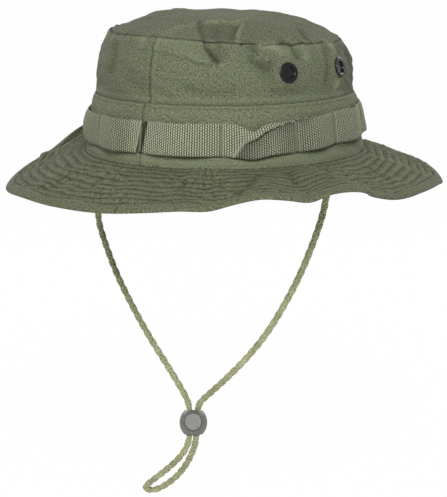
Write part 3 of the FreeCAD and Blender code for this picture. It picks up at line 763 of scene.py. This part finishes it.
def build_band():
    azimuth, z = around(720, np.linspace(BAND_BOTTOM - 1.3, BAND_TOP, 72))
    outer = band_surface(azimuth, z)
    inner = oval(azimuth, band_inset(z) + CLOTH, z)[:, ::8]
    # painted shade at the top seam, along the bottom and in the side seams, painted light below the
    # webbing, and a painted shadow behind the webbing's open join
    painted_shading = 0.3 * bell(z - BAND_TOP, 0.5) + 0.8 * smooth(3.4, 2.2, z)
    painted_shading -= 0.4 * smooth(12, 9, z) * smooth(3, 5, z)
    h = (z - WEBBING_BOTTOM) / WEBBING_WIDTH - 0.5
    gap = np.radians(turn(azimuth - WEBBING_JOIN - 0.4 - 2.6 * (h + 0.1))) * 96
    painted_shading += 1.2 * np.exp(-(gap / 2.2) ** 4) * smooth(0.5, 0.46, np.abs(h))
    painted_shading += 0.35 * bell(z - BAND_TOP + 2.6, 0.5)
    for seam_azimuth in (SIDE_SEAM - 2, SIDE_SEAM + 180):
        arc = arc_from(azimuth, seam_azimuth, BAND_ROUND)
        painted_shading += 0.8 * bell(arc, 0.55)
    piece = shell("crown_band", outer, inner, BAND_CLOTH, painted_shading)
    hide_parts("crown_band_right", "crown_band_left")
    return [piece]


def sweatband_surface(azimuth, z, out=0.0):
    """The inside face of the sweatband."""
    depth = 0.15 * ripple(np.radians(azimuth) * CROWN_ROUND, z * 2, 14, 31)
    depth += seam_dip(z, SWEATBAND_BOTTOM + 2.5, 0.3, 0.5)
    depth += seam_dip(z, SWEATBAND_TOP - 3, 0.3, 0.5)
    return oval(azimuth, band_inset(z) - SWEATBAND_OUT + SWEATBAND_CLOTH + depth + out, z)


def build_sweatband():
    azimuth, z = around(540, np.linspace(SWEATBAND_BOTTOM, SWEATBAND_TOP, 60))
    outer = oval(azimuth, band_inset(z) - SWEATBAND_OUT, z)
    piece = shell("sweatband_inside", outer[:, ::6], sweatband_surface(azimuth, z), LINING)
    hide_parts("sweatband")
    return [piece]


# ---- brim ------------------------------------------------------------------------------------
BRIM_ROWS = [3.6, 9.6, 15.8, 21.8, 28.0, 34.0, 40.0, 45.6]
HEM_ROW = BRIM_REACH - HEM_WIDTH + 1.2
HEM_STITCH = 0.84               # place of the hem's stitch line on its width
HEM_JOIN = -85.5
HEM_NOSE = 0.34                 # share of the hem's width that is bent round the edge
BRIM_WAVES = [                  # valleys and ridges over the brim: (azimuth, reach), depth, width
    ([(-48, 6), (-53, 26), (-56, 36), (-60, 57)], 2.0, 8.0),
    ([(-50, 10), (-49, 34), (-48, 57)], -2.0, 9.0),
    ([(-37, 16), (-38, 34), (-39, 57)], 1.4, 8.0),
    ([(-28, 12), (-28, 34), (-27, 57)], -1.8, 8.0),
    ([(-14, 14), (-10, 34), (-8, 50)], 1.0, 10.0),
    ([(-86, 10), (-84, 36), (-82, 54)], -0.9, 10.0),
    ([(-104, 12), (-106, 34), (-108, 54)], 0.8, 12.0),
]

BRIM_CREASES = [                # sharp creases: (azimuth, reach), height, width
    ([(-131, 42), (-127, 33), (-125, 24), (-135, 12), (-146, 6)], 1.0, 1.5),
    ([(13, 4), (11, 20), (13, 34), (13, 52)], 2.2, 1.6),
    ([(-44, 4), (-50, 22), (-53, 34), (-57, 47)], -1.3, 2.6),
    ([(-36, 6), (-38, 22), (-39, 38)], -1.1, 2.4),
    ([(-20, 6), (-26, 24), (-29, 40)], -1.0, 2.4),
    ([(-74, 8), (-71, 24), (-72, 38)], -0.9, 2.2),
    ([(-98, 10), (-101, 26), (-99, 42)], -0.9, 2.2),
    ([(-2, 14), (-4, 30), (-7, 44)], -1.0, 2.4),
]

TURNED_UP = [(-163, 47), (-170, 45), (-177, 42), (177, 36), (171, 29)]


def brim_across(azimuth):
    """Distance round the brim in millimetres from the middle of the photograph's view."""
    return arc_from(azimuth, VIEW_MIDDLE, BRIM_ROUND)


def on_brim(line):
    """A line of (azimuth, reach) in millimetres on the unrolled brim."""
    return [(brim_across(azimuth), reach) for azimuth, reach in line]


def turned_up(azimuth, reach, height, sharp, run):
    """The far side of the brim drops behind a ridge before its edge turns up."""
    return step(brim_across(azimuth), reach, on_brim(TURNED_UP), height, sharp, run)


def brim_pull(azimuth):
    """The brim is a little narrower where its two corners are drawn in."""
    return (1 - 0.045 * bell(turn(azimuth - 14), 13)
            - 0.03 * bell(turn(azimuth + 148), 16))


def brim_creases(azimuth, reach):
    """Height of the sharp creases that run over the stitched rows."""
    x = brim_across(azimuth)
    total = np.zeros(np.shape(x))
    for line, height, width in BRIM_CREASES:
        total += valley(x, reach, on_brim(line), -height, width)
    return total


def row_wander(azimuth):
    """How far the stitched rows wander in and out, in millimetres."""
    arc = np.radians(azimuth) * BRIM_ROUND
    return 0.9 * ripple(arc, 0 * arc, 55, 41, 3) + 0.35 * ripple(arc, 0 * arc, 19, 42, 3)


def brim_quilting(azimuth, reach):
    """Relief of the stitched rows, and the painted shade and painted light that go with it."""
    arc = np.radians(azimuth) * BRIM_ROUND
    place = reach + row_wander(azimuth) * smooth(0, 6, reach)
    rows = [-2.0] + BRIM_ROWS + [HEM_ROW, HEM_ROW + 6.5]
    total = np.zeros(np.shape(arc))
    painted_shading = np.zeros(np.shape(arc))
    lively = 0.6 + 0.4 * np.clip(ripple(arc, reach, 48, 46, 3), -1, 1)
    for number, (low, high) in enumerate(zip(rows, rows[1:])):
        share = np.clip((place - low) / (high - low), 0, 1)
        inside = (place >= low) & (place < high)
        puff = np.sin(math.pi * share) ** 0.55
        drift = 0.9 * ripple(arc, reach * 0.8, 26, 50 + number, 3) + 0.37 * number
        pucker = np.abs(np.sin(math.pi * (arc / 6.4 + drift))) ** 0.55
        quilt = ripple(arc, reach * 0.9, 4.6, 70 + number, 4)
        total += inside * puff * (0.6 + lively * (0.95 * pucker + 0.25 * quilt))
        # painted shade between the puckers and painted light on them
        painted_shading += inside * puff * lively * (0.55 * (0.62 - pucker) - 0.12 * quilt)
        # painted shade in dashes along the groove of each stitched row
        dash = 0.75 + 0.25 * np.sin(2 * math.pi * arc / 3.0 + number)
        painted_shading += 0.95 * dash * bell(place - high, 0.62) * (number < len(rows) - 2)
        # painted light along the crest of each row
        painted_shading -= inside * 0.3 * bell(share - 0.66, 0.16)
    # painted light on crease crests, painted shade in their hollows, and painted shade at the root
    # by the crown
    painted_shading = 1.3 * painted_shading - 0.4 * brim_creases(azimuth, reach) + 0.9 * smooth(1.6, 0.2, reach)
    # painted shade behind the turned-up far edge, painted light on the near right, and painted shade
    # along the far edge
    painted_shading += 0.5 * turned_up(azimuth, reach + 2.6, -1, 1.5, 1.5)
    painted_shading -= 0.14 * smooth(-14, -2, azimuth) * smooth(50, 20, azimuth)
    far = smooth(138, 150, turn(azimuth - 10)) * smooth(180, 172, turn(azimuth - 10))
    painted_shading += 0.9 * far * smooth(45.5, 47, reach)
    # the seams: a sunk line with painted shade in it
    for seam_azimuth in (BRIM_SEAM, BRIM_SEAM + 180):
        d = np.radians(turn(azimuth - seam_azimuth)) * (95 + reach)
        total += -0.55 * bell(d, 0.8) + 0.35 * bell(d - 2.2, 1.6)
        painted_shading += 0.6 * bell(d, 0.6)
    return total, painted_shading


def brim_relief(azimuth, reach, upper):
    """Height of the brim's cloth above the plain brim: quilting and small lumps."""
    total = brim_quilting(azimuth, reach)[0]
    total += 0.3 * ripple(np.radians(azimuth) * BRIM_ROUND, reach, 14, 43) * smooth(0, 8, reach)
    return np.maximum(total if upper else total * 0.75, -0.08)


def brim_wave(azimuth, reach):
    """Slow waves of the whole brim that its edge line alone doesn't hold."""
    x = brim_across(azimuth)
    total = np.zeros(np.shape(x))
    for line, depth, width in BRIM_WAVES:
        d, _, share = distance_to(x, reach, on_brim(line))
        total += -depth * bell(d, width) * smooth(0, 0.5, share)
    slow = 0.8 * ripple(x, reach * 1.2, 42, 44) + 0.5 * ripple(x, reach, 26, 45)
    total = (total + slow * smooth(4, 22, reach)) * smooth(57.5, 40, reach)
    return total + brim_creases(azimuth, reach) + turned_up(azimuth, reach, 2.4, 1.2, 14)


def brim_face(azimuth, reach, side=1):
    """The stitched upper face of the brim, or its under face with side -1."""
    points = brim_middle(azimuth, reach)
    points[..., 2] += side * (BRIM_FACE + brim_relief(azimuth, reach, side > 0))
    return points


def brim_middle(azimuth, reach):
    """The brim's mid surface; reach in millimetres from the crown."""
    share = reach / BRIM_REACH
    run = np.maximum(share, 0)
    height = BRIM_ROOT + (edge_height(turn(azimuth)) - BRIM_ROOT) * (0.75 * run + 0.25 * run ** 2)
    points = oval(azimuth, -reach * brim_pull(azimuth), height)
    points[..., 2] += brim_wave(azimuth, reach)
    return points


def build_brim():
    pieces = []
    edge = BRIM_REACH - HEM_WIDTH * 0.55
    for name, side, count, rings in (("brim_upper", 1, 1080, 92), ("brim_under", -1, 900, 70)):
        azimuth, reach = around(count, np.linspace(-0.9, edge, rings))
        outer = brim_face(azimuth, reach, side)
        inner = (brim_middle(azimuth, reach) + np.array([0, 0, side * 0.5]))[:, ::5]
        # the brim's painted shade and painted light
        painted_shading = brim_quilting(azimuth, reach)[1]
        if side > 0:
            piece = shell(name, outer, inner, BRIM_CLOTH, painted_shading=painted_shading)
        else:
            piece = shell(name, inner, outer, BRIM_CLOTH, inner_painted_shading=painted_shading)
        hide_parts(name + "_ply_right", name + "_ply_left")
        pieces.append(piece)
    azimuth, reach = around(900, np.linspace(0, edge - 1, 46))
    middle = brim_middle(azimuth, reach)
    piece = shell("brim_stiffener", middle + np.array([0, 0, 0.25]), middle - np.array([0, 0, 0.25]),
                  STIFFENER)
    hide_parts("brim_interlining_right", "brim_interlining_left")
    return pieces + [piece, build_hem()]


def hem_surface(azimuth, s, inside=False):
    """Cloth folded round the plies: s is -1 at its lower edge, 0 at the nose and 1 on top."""
    arc = np.radians(azimuth) * HEM_ROUND
    fold = 2.0
    run = np.clip((np.abs(s) - HEM_NOSE) / (1 - HEM_NOSE), 0, 1)
    turned = np.radians(90 * np.clip(s / HEM_NOSE, -1, 1))
    flat = np.abs(s) > HEM_NOSE
    back = np.where(flat, fold + run * (HEM_WIDTH - fold), fold * (1 - np.cos(turned)))
    back = back + run * (0.25 * ripple(arc, 0 * arc, 33, 61) + 0.12 * ripple(arc, 0 * arc, 9, 62))
    lift = np.where(flat, np.sign(s), np.sin(turned))
    puff = 0.55 * np.sin(math.pi * np.clip(run * 1.25, 0, 1)) * (0.6 + 0.4 * ripple(arc, s, 7, 63))
    tuck = -0.7 * bell(run - HEM_STITCH, 0.06)
    pucker = 0.28 * ripple(arc, s * 4, 6.5, 64) * smooth(0.1, 0.6, run)
    height = (1.55 + puff + tuck + pucker) * lift
    if inside:
        back = back + 0.5 * (1 - run)
        height = height * 0.72
    points = brim_middle(azimuth, BRIM_REACH - back)
    points[..., 2] += height
    return points


def build_hem():
    azimuth, s = around(1200, np.linspace(-1, 1, 61))
    run = (np.abs(s) - HEM_NOSE) / (1 - HEM_NOSE)
    # painted shade along the stitch line, at the edges and in the join, and painted light across the
    # middle of the hem
    painted_shading = 0.9 * bell(run - HEM_STITCH, 0.08) + 0.9 * smooth(0.92, 0.98, run)
    painted_shading -= 0.25 * bell(run - 0.55, 0.15)
    join = arc_from(azimuth, HEM_JOIN, HEM_ROUND)
    painted_shading += 0.8 * bell(join, 0.6)
    piece = shell("brim_hem", hem_surface(azimuth, s)[:, ::-1],
                  hem_surface(azimuth, s, inside=True)[:, ::-3], HEM_CLOTH, painted_shading[:, ::-1])
    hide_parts("brim_edge_hem")
    return piece


# ---- webbing ---------------------------------------------------------------------------------
def tack_ring():
    inner = sorted((a - WEBBING_JOIN) % 360 for a in TACKS)
    return [WEBBING_JOIN] + [WEBBING_JOIN + a for a in inner] + [WEBBING_JOIN + 360]


def loop_arch(azimuth):
    """How far the webbing stands off the band, 0 at each tack."""
    tacks = np.array(tack_ring())
    index = np.clip(np.searchsorted(tacks, azimuth, side="right") - 1, 0, len(tacks) - 2)
    share = (azimuth - tacks[index]) / (tacks[index + 1] - tacks[index])
    return np.sin(math.pi * np.clip(share, 0, 1)) ** 2


def webbing_centre(azimuth):
    """Height of the webbing's middle line: it wanders a little round the hat."""
    x = across(azimuth)
    rise = 3.4 * smooth(24, 100, x) * smooth(250, 150, x)
    dip = -1.8 * bell(x - 17, 9)
    return WEBBING_BOTTOM + WEBBING_WIDTH / 2 + rise + dip


def past_fold(x, h):
    """Distance beyond the fold's edge, which starts at the lower rim and flattens upwards."""
    return x - 8 - 12 * (h + 0.5) - 37 * (h + 0.5) ** 6


def webbing_fold(x, h):
    """Slack webbing folded over itself: its edge runs down and to the left."""
    past = past_fold(x, h)
    front = smooth(-26, -6, past) * smooth(0.9, -0.9, past)
    behind = smooth(-0.9, 0.9, past) * np.exp(-np.maximum(past, 0) / 15)
    return 2.6 * front - 1.6 * behind


def webbing_painted_shading(x, h, from_start, from_end, azimuth):
    """Painted shade in the join, behind the fold, right of it, at the left end and at the tacks;
    painted light along the fold's edge, on rolled edges and beside the tacks.
    """
    past = past_fold(x, h)
    near = smooth(34, 26, np.abs(x - 30))
    painted_shading = near * (0.62 * smooth(0.2, 1.6, past) * np.exp(-np.maximum(past - 1.6, 0) / 14)
                   - 0.8 * bell(past + 1.0, 1.1))
    # painted shade right of the fold and at the left end
    painted_shading += 0.28 * smooth(30, 44, x) * smooth(190, 150, x) + 0.3 * smooth(-58, -66, x)
    # a painted shadow in the open join and painted light on the rolled end
    painted_shading += 1.2 * bell(from_start - 2.1, 1.3)
    painted_shading -= 0.9 * bell(from_end - 1.7, 0.9)
    # painted shade at each tack with painted light beside it
    for tack in tack_ring()[1:-1]:
        off = arc_from(azimuth, tack, WEBBING_ROUND)
        painted_shading += 0.45 * bell(off, 0.8) - 0.2 * bell(off - 2, 1.2)
    return painted_shading


def build_webbing():
    """The webbing all round: slack between its tacks, folded once and open at its join."""
    azimuths = np.linspace(WEBBING_JOIN + 1.25, WEBBING_JOIN + 359.4, 3000)
    heights = np.linspace(-0.5, 0.5, 23)
    azimuth, h = np.meshgrid(azimuths, heights, indexing="ij")
    from_start = np.radians(azimuth - WEBBING_JOIN) * WEBBING_ROUND
    from_end = np.radians(WEBBING_JOIN + 360 - azimuth) * WEBBING_ROUND
    skew = np.exp(-from_start / 12) + np.exp(-from_end / 12)
    azimuth = azimuth + skew * (h + 0.1) * 2.6
    arc = np.radians(azimuth) * WEBBING_ROUND
    x = across(azimuth)
    z = webbing_centre(azimuth) + h * (WEBBING_WIDTH + 0.3 * ripple(arc, 0 * arc, 30, 81))
    z = z - 3.6 * bell(x - 19.5, 5.5) * (h + 0.5) ** 2
    arch = LOOP_RISE * loop_arch(np.minimum(azimuth, WEBBING_JOIN + 360))
    arch *= 1 - 0.8 * (h + 0.5) * smooth(105, 120, x) * smooth(210, 190, x)
    arch *= 1 - 0.5 * (2 * h) ** 2 * smooth(-100, -115, x) - 0.2 * smooth(-100, -115, x)
    rib = 0.6 * np.abs(np.sin(math.pi * arc / RIB_PITCH)) ** 0.7
    slack = 0.35 * ripple(arc, z, 22, 82)
    lift = WEBBING_LIFT + arch + np.clip(slack, -0.2, 0.6) * loop_arch(azimuth)
    lift = np.maximum(lift + webbing_fold(x, h) * loop_arch(azimuth), WEBBING_LIFT)
    lift = lift + 2.3 * np.exp(-from_end / 2.2) * (1 + 0.4 * h)
    lift = lift + 0.4 * np.exp(-from_start / 2.0)
    edge = 0.35 * (1 - smooth(0.5, 0.42, np.abs(h)))
    base = band_inset(np.clip(z, BAND_BOTTOM, BAND_TOP))
    outer = oval(azimuth, base - lift - WEBBING_THICKNESS + 0.3 - rib + edge, z)
    inner = oval(azimuth, base - lift - edge, z)
    points = np.concatenate([outer, inner[:, ::-1]], 1)
    uv_u = np.broadcast_to(np.radians(azimuth) * WEBBING_ROUND * MM, azimuth.shape)
    uv_u = np.concatenate([uv_u, uv_u[:, ::-1]], 1)
    span = np.concatenate([heights, heights[::-1]]) * WEBBING_WIDTH * MM
    uv = np.stack([uv_u, np.broadcast_to(span, points.shape[:2])], -1)
    uv = np.concatenate([uv, uv[:, :1]], 1)
    # painted shade and painted light on the outer face only
    painted_shading = np.tile(webbing_painted_shading(x, h, from_start, from_end, azimuth), (1, 2))
    painted_shading[:, len(heights):] = 0
    strip = grid_object("webbing_strip", points, WEBBING, closed_u=False, uv=uv, painted_shading=painted_shading)
    cap_ends(strip, points.shape)
    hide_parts("webbing_band")
    return [strip, build_tacks()]


def cap_ends(obj, shape):
    """Close the two cut ends of a strip made from a grid that is closed across."""
    bm = bmesh.new()
    bm.from_mesh(obj.data)
    bm.verts.ensure_lookup_table()
    nu, nv = shape[:2]
    bm.faces.new([bm.verts[j] for j in range(nv)])
    bm.faces.new([bm.verts[(nu - 1) * nv + j] for j in reversed(range(nv))])
    bm.to_mesh(obj.data)
    bm.free()


def threads(name, starts, ends, ups, radius, material):
    """Many short stitches as one mesh: each a thin six-sided bead from start to end."""
    starts, ends, ups = (np.asarray(v, float) for v in (starts, ends, ups))
    along = ends - starts
    length = np.linalg.norm(along, axis=1, keepdims=True)
    along = along / length
    side = unit(np.cross(along, ups))
    up = np.cross(side, along)
    stations = [(0.0, 0.35, -0.6), (0.18, 0.95, 0.05), (0.5, 1.0, 0.35), (0.82, 0.95, 0.05),
                (1.0, 0.35, -0.6)]
    sides = 6
    rings = []
    for share, size, lift in stations:
        centre = starts + along * length * share + up * radius * lift
        for k in range(sides):
            a = 2 * math.pi * k / sides
            rings.append(centre + (side * math.cos(a) + up * math.sin(a) * 0.8) * radius * size)
    points = np.stack(rings, 1)
    per = len(stations) * sides
    faces = []
    for s in range(len(stations) - 1):
        for k in range(sides):
            a, b = s * sides + k, s * sides + (k + 1) % sides
            faces.append((a, b, b + sides, a + sides))
    faces = np.array(faces)
    count = len(starts)
    quads = (faces[None] + per * np.arange(count)[:, None, None]).reshape(-1, 4)
    mesh = bpy.data.meshes.new(name)
    mesh.from_pydata((points.reshape(-1, 3) * MM).tolist(), [], quads.tolist())
    mesh.update()
    return add_object(name, mesh, material)


def build_tacks():
    """Dense zigzag bartacks over the webbing."""
    half_width, end_margin, above, rise = 0.95, 1.2, 0.42, 0.28
    starts, ends, ups = [], [], []
    for azimuth in tack_ring()[:-1]:
        middle = float(webbing_centre(np.array(azimuth)))
        half_height = WEBBING_WIDTH / 2 - end_margin
        for z in np.linspace(middle - half_height, middle + half_height, 34):
            offset = band_inset(z) - WEBBING_LIFT - WEBBING_THICKNESS - above
            angle = math.degrees(half_width / (WEBBING_ROUND - 1))
            starts.append(oval(azimuth - angle, offset, z))
            ends.append(oval(azimuth + angle, offset, z + rise))
            ups.append(starts[-1] * [1, 1, 0])
    piece = threads("webbing_tacks", starts, ends, ups, 0.3, TACK_THREAD)
    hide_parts("webbing_bartacks")
    return piece


# ---- sewing ----------------------------------------------------------------------------------
def stitches(surface, azimuths, step, up, share=0.78):
    """Starts, ends and ups of a row: surface takes azimuths, step is a stitch and its gap."""
    points = surface(azimuths)
    length = run_along(points)
    count = max(2, int(length[-1] / step))
    begin = np.linspace(0, length[-1], count, endpoint=False)
    finish = begin + share * length[-1] / count
    starts, ends = points_at(points, length, begin), points_at(points, length, finish)
    ups = np.array([0.0, 0, 1]) if up == "flat" else starts * [1, 1, 0] * (1 if up == "out" else -1)
    return starts, ends, np.broadcast_to(ups, starts.shape)


def sew(name, rows, radius, material=None):
    starts, ends, ups = (np.concatenate(part) for part in zip(*rows))
    return threads(name, starts, ends, ups, radius, material or THREAD)


def build_stitching():
    ring = np.linspace(-180, 180, 2401)
    top, under = [], []
    for row in BRIM_ROWS:
        reach = row - row_wander(ring)
        top.append(stitches(lambda a, r=reach: brim_face(a, r), ring, 3.0, "flat"))
        under.append(stitches(lambda a, r=reach: brim_face(a, r, -1), ring, 3.0, "flat"))
    edge = HEM_STITCH * (1 - HEM_NOSE) + HEM_NOSE
    top.append(stitches(lambda a: hem_surface(a, edge + 0 * a), ring, 3.0, "flat"))
    under.append(stitches(lambda a: hem_surface(a, -edge + 0 * a), ring, 3.0, "flat"))
    seams = [stitches(lambda a: side_surface(a, 0 * a + 0.035, 0.05), ring, 2.8, "out"),
             stitches(lambda a: band_surface(a, 0 * a + BAND_TOP - 2.6, 0.05), ring, 2.8, "out"),
             stitches(lambda a: band_surface(a, 0 * a + BAND_BOTTOM + 2.2, 0.05), ring, 2.8, "out"),
             stitches(lambda a: top_surface(a, 0 * a + 0.975, 0.05), ring, 2.8, "flat")]
    rise = np.linspace(0.03, 0.97, 200)
    for seam in (SIDE_SEAM, SIDE_SEAM + 180):
        for shift in (1.7, 4.6):
            line = seam + math.degrees(shift / 92)
            seams.append(stitches(lambda r: side_surface(0 * r + line, r, 0.05), rise, 2.8, "out"))
    inside = [stitches(lambda a, z=z: sweatband_surface(a, 0 * a + z), ring, 3.2, "in")
              for z in (SWEATBAND_BOTTOM + 2.5, SWEATBAND_TOP - 3)]
    return [sew("brim_stitches", top, 0.2), sew("brim_under_stitches", under, 0.2),
            sew("crown_stitches", seams, 0.2), sew("sweatband_stitches", inside, 0.22)]


# ---- chin cord -------------------------------------------------------------------------------
def cord_route():
    """The cord from its left end down through the lock, round the bight and back up."""
    yaw, tilt = math.radians(LOCK_YAW), math.radians(LOCK_TILT)
    button = Vector((math.sin(yaw) * math.cos(tilt), -math.cos(yaw) * math.cos(tilt),
                     math.sin(tilt)))
    strands = Vector((math.cos(yaw), math.sin(yaw), 0))
    hole = strands.cross(button)
    if hole.z < 0:
        hole = -hole

    def lock_point(side, height):
        return Vector(LOCK_CENTRE) + strands * side * STRAND_OFFSET + hole * height

    def free(points):
        return [Vector((x, CORD_PLANE + y, z)) for x, y, z in points]

    end = CORD_END
    left = free([(-end, 0, EXIT_HEIGHT), (-end, 0, -18), (-95.5, 0, -34.5),
                 (-99.5, 0, -53.5), (-93, 0, -72.5), (-83, 0, -95), (-70.5, 0, -116),
                 (-56, 0, -137.5), (-40.5, 0.3, -157.5), (-28.6, 1, -174)])
    tail = free([(-23.5, -6, -220.5), (-35, -6, -232.5), (-47.5, -5, -243), (-59.5, -4, -253.3),
                 (-55.8, 4, -257.7), (-45, 4, -251.3), (-35, 3, -242.8), (-26.5, 1.5, -232.8),
                 (-18.5, -2, -220.8)])
    right = free([(-8.7, 4, -176.6), (5, 1, -164.3), (22.5, 0, -146.8), (39.5, 0, -126.5),
                  (54, 0, -103.5), (67, 0, -79.2), (77.5, 0, -54), (84.5, 0, -33.5),
                  (end, 0, -16), (end, 0, EXIT_HEIGHT)])
    return (left + [lock_point(-1, 12.5), lock_point(-1, -12.5)] + tail
            + [lock_point(1, -12.5), lock_point(1, 12.5)] + right)


def cord_path():
    curve = bpy.data.curves.new("chin_cord_path", "CURVE")
    curve.dimensions = "3D"
    curve.resolution_u = 16
    spline = curve.splines.new("NURBS")
    route = cord_route()
    spline.points.add(len(route) - 1)
    for point, place in zip(spline.points, route):
        point.co = (*(place * MM), 1)
    spline.order_u = 3
    spline.use_endpoint_u = True
    return put_in_scene("chin_cord_path", curve)


def path_points(path, step):
    """Evenly spaced points in millimetres along the drawn curve."""
    bpy.context.view_layer.update()
    mesh = bpy.data.meshes.new_from_object(path)
    points = np.array([v.co for v in mesh.vertices]) / MM
    bpy.data.meshes.remove(mesh)
    bpy.data.objects.remove(path)
    length = run_along(points)
    where = np.linspace(0, length[-1], int(length[-1] / step))
    return points_at(points, length, where), where


def carried_frames(points):
    """Two unit vectors across the line at every point, carried along without twist."""
    tangent = unit(np.gradient(points, axis=0))
    first = np.cross(tangent[0], [0, 1.0, 0])
    firsts = []
    for t in tangent:
        first = first - t * np.dot(first, t)
        first = first / np.linalg.norm(first)
        firsts.append(first)
    firsts = np.array(firsts)
    return firsts, np.cross(tangent, firsts)


BRAID_LAY, YARNS, YARN_SIDES = 14.5, 8, 8
YARN_WIDE, YARN_DEEP = 0.92, 0.46       # half the width and half the depth of one yarn


def build_cord():
    """Flat-strand braid of eight yarns, four each way round."""
    points, where = path_points(cord_path(), 0.55)
    first, second = carried_frames(points)
    verts, faces = [], []
    count = len(points)
    for strand in range(YARNS):
        way = 1 if strand % 2 else -1
        start = (strand // 2) * math.pi / 2 + (math.pi / 4 if strand % 2 else 0)
        angle = start + way * 2 * math.pi * where / BRAID_LAY
        over = np.sin(4 * 2 * math.pi * where / BRAID_LAY + way * math.pi / 2
                      + (strand // 2) * math.pi)
        radius = 1.72 + 0.27 * over
        out = first * np.cos(angle)[:, None] + second * np.sin(angle)[:, None]
        centre = points + out * radius[:, None]
        flat = unit(np.cross(unit(np.gradient(centre, axis=0)), out))
        base = strand * count * YARN_SIDES
        for k in range(YARN_SIDES):
            a = 2 * math.pi * k / YARN_SIDES
            verts.append(centre + flat * YARN_WIDE * math.cos(a) + out * YARN_DEEP * math.sin(a))
        grid = base + np.arange(count * YARN_SIDES).reshape(YARN_SIDES, count)
        after = np.roll(grid, -1, 0)
        faces.append(np.stack([grid[:, :-1], grid[:, 1:], after[:, 1:], after[:, :-1]], -1)
                     .reshape(-1, 4))
    mesh = bpy.data.meshes.new("braided_cord")
    mesh.from_pydata((np.concatenate(verts) * MM).tolist(), [], np.concatenate(faces).tolist())
    mesh.update()
    cord = add_object("braided_cord", mesh, CORD_YARN)
    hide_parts("chin_cord")
    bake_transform(cord)
    return cord


def dress(node, material):
    """Give a CAD piece its own look."""
    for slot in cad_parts[node].material_slots:
        slot.material = material


# ---- the whole hat ---------------------------------------------------------------------------
sewn = build_crown() + build_band() + build_sweatband() + build_brim() + build_webbing()
sewn += build_stitching()
for piece in sewn:
    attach(piece, WORN_ON)
cord = build_cord()
for name in ("grommet", "screen", "washer"):
    for number in range(1, 5):
        dress("eyelet_%s_%d" % (name, number), ENAMEL)
for node, look in (("cord_anchor_left", LINING), ("cord_anchor_right", LINING),
                   ("cord_lock_body", LOCK_PLASTIC), ("cord_lock_plunger", BUTTON_PLASTIC),
                   ("cord_lock_spring", SPRING_WIRE)):
    dress(node, look)


# ---- light -----------------------------------------------------------------------------------
def area_light(name, azimuth, elevation, distance, size, power):
    """Soft box aimed at the crown; azimuth is measured round from the camera's side."""
    a, e = math.radians(VIEW_AZIMUTH + azimuth), math.radians(elevation)
    place = Vector((math.sin(a) * math.cos(e), -math.cos(a) * math.cos(e), math.sin(e))) * distance
    data = bpy.data.lights.new(name, "AREA")
    data.shape = "SQUARE"
    data.size = size
    data.energy = power
    light = put_in_scene(name, data)
    light.location = place
    light.rotation_euler = (-place).to_track_quat("-Z", "Y").to_euler()


def white_world(strength):
    """Plain white behind the hat, and a dimmer even light on it."""
    world = bpy.data.worlds.new("studio")
    bpy.context.scene.world = world
    world.use_nodes = True
    tree = world.node_tree
    tree.nodes.clear()
    path = tree.nodes.new("ShaderNodeLightPath")
    lit, seen = (tree.nodes.new("ShaderNodeBackground") for _ in range(2))
    lit.inputs["Color"].default_value = (1, 1, 1, 1)
    lit.inputs["Strength"].default_value = strength
    seen.inputs["Color"].default_value = (1, 1, 1, 1)
    mix = tree.nodes.new("ShaderNodeMixShader")
    output = tree.nodes.new("ShaderNodeOutputWorld")
    tree.links.new(path.outputs["Is Camera Ray"], mix.inputs[0])
    tree.links.new(lit.outputs[0], mix.inputs[1])
    tree.links.new(seen.outputs[0], mix.inputs[2])
    tree.links.new(mix.outputs[0], output.inputs[0])


def pale_floor(height):
    """White to the camera, with a trace of the hat's shadow."""
    n = Nodes("floor")
    n.bsdf.inputs["Base Color"].default_value = (0.85, 0.85, 0.85, 1)
    n.bsdf.inputs["Roughness"].default_value = 0.9
    path = n.add("ShaderNodeLightPath")
    glow = n.add("ShaderNodeEmission", {"Strength": 1.0})
    share = n.math("MULTIPLY", path.outputs["Is Camera Ray"], 0.98)
    mix = n.add("ShaderNodeMixShader", {0: share, 1: n.bsdf.outputs[0], 2: glow.outputs[0]})
    n.tree.links.new(mix.outputs[0], n.tree.nodes["Material Output"].inputs[0])
    mesh = bpy.data.meshes.new("floor")
    half = 40.0
    mesh.from_pydata([(x, y, height) for x, y in ((-half, -half), (half, -half), (half, half),
                                                  (-half, half))], [], [(0, 1, 2, 3)])
    add_object("floor", mesh, n.material)


bpy.context.scene.view_settings.view_transform = "Standard"
pale_floor(-0.31)
area_light("key", 2, 29, 1.5, 0.5, 17)
area_light("fill", -62, 12, 1.8, 0.35, 2)
area_light("back_right", 140, 22, 1.7, 0.8, 11)
area_light("back_left", -140, 22, 1.7, 0.8, 11)
white_world(0.32)
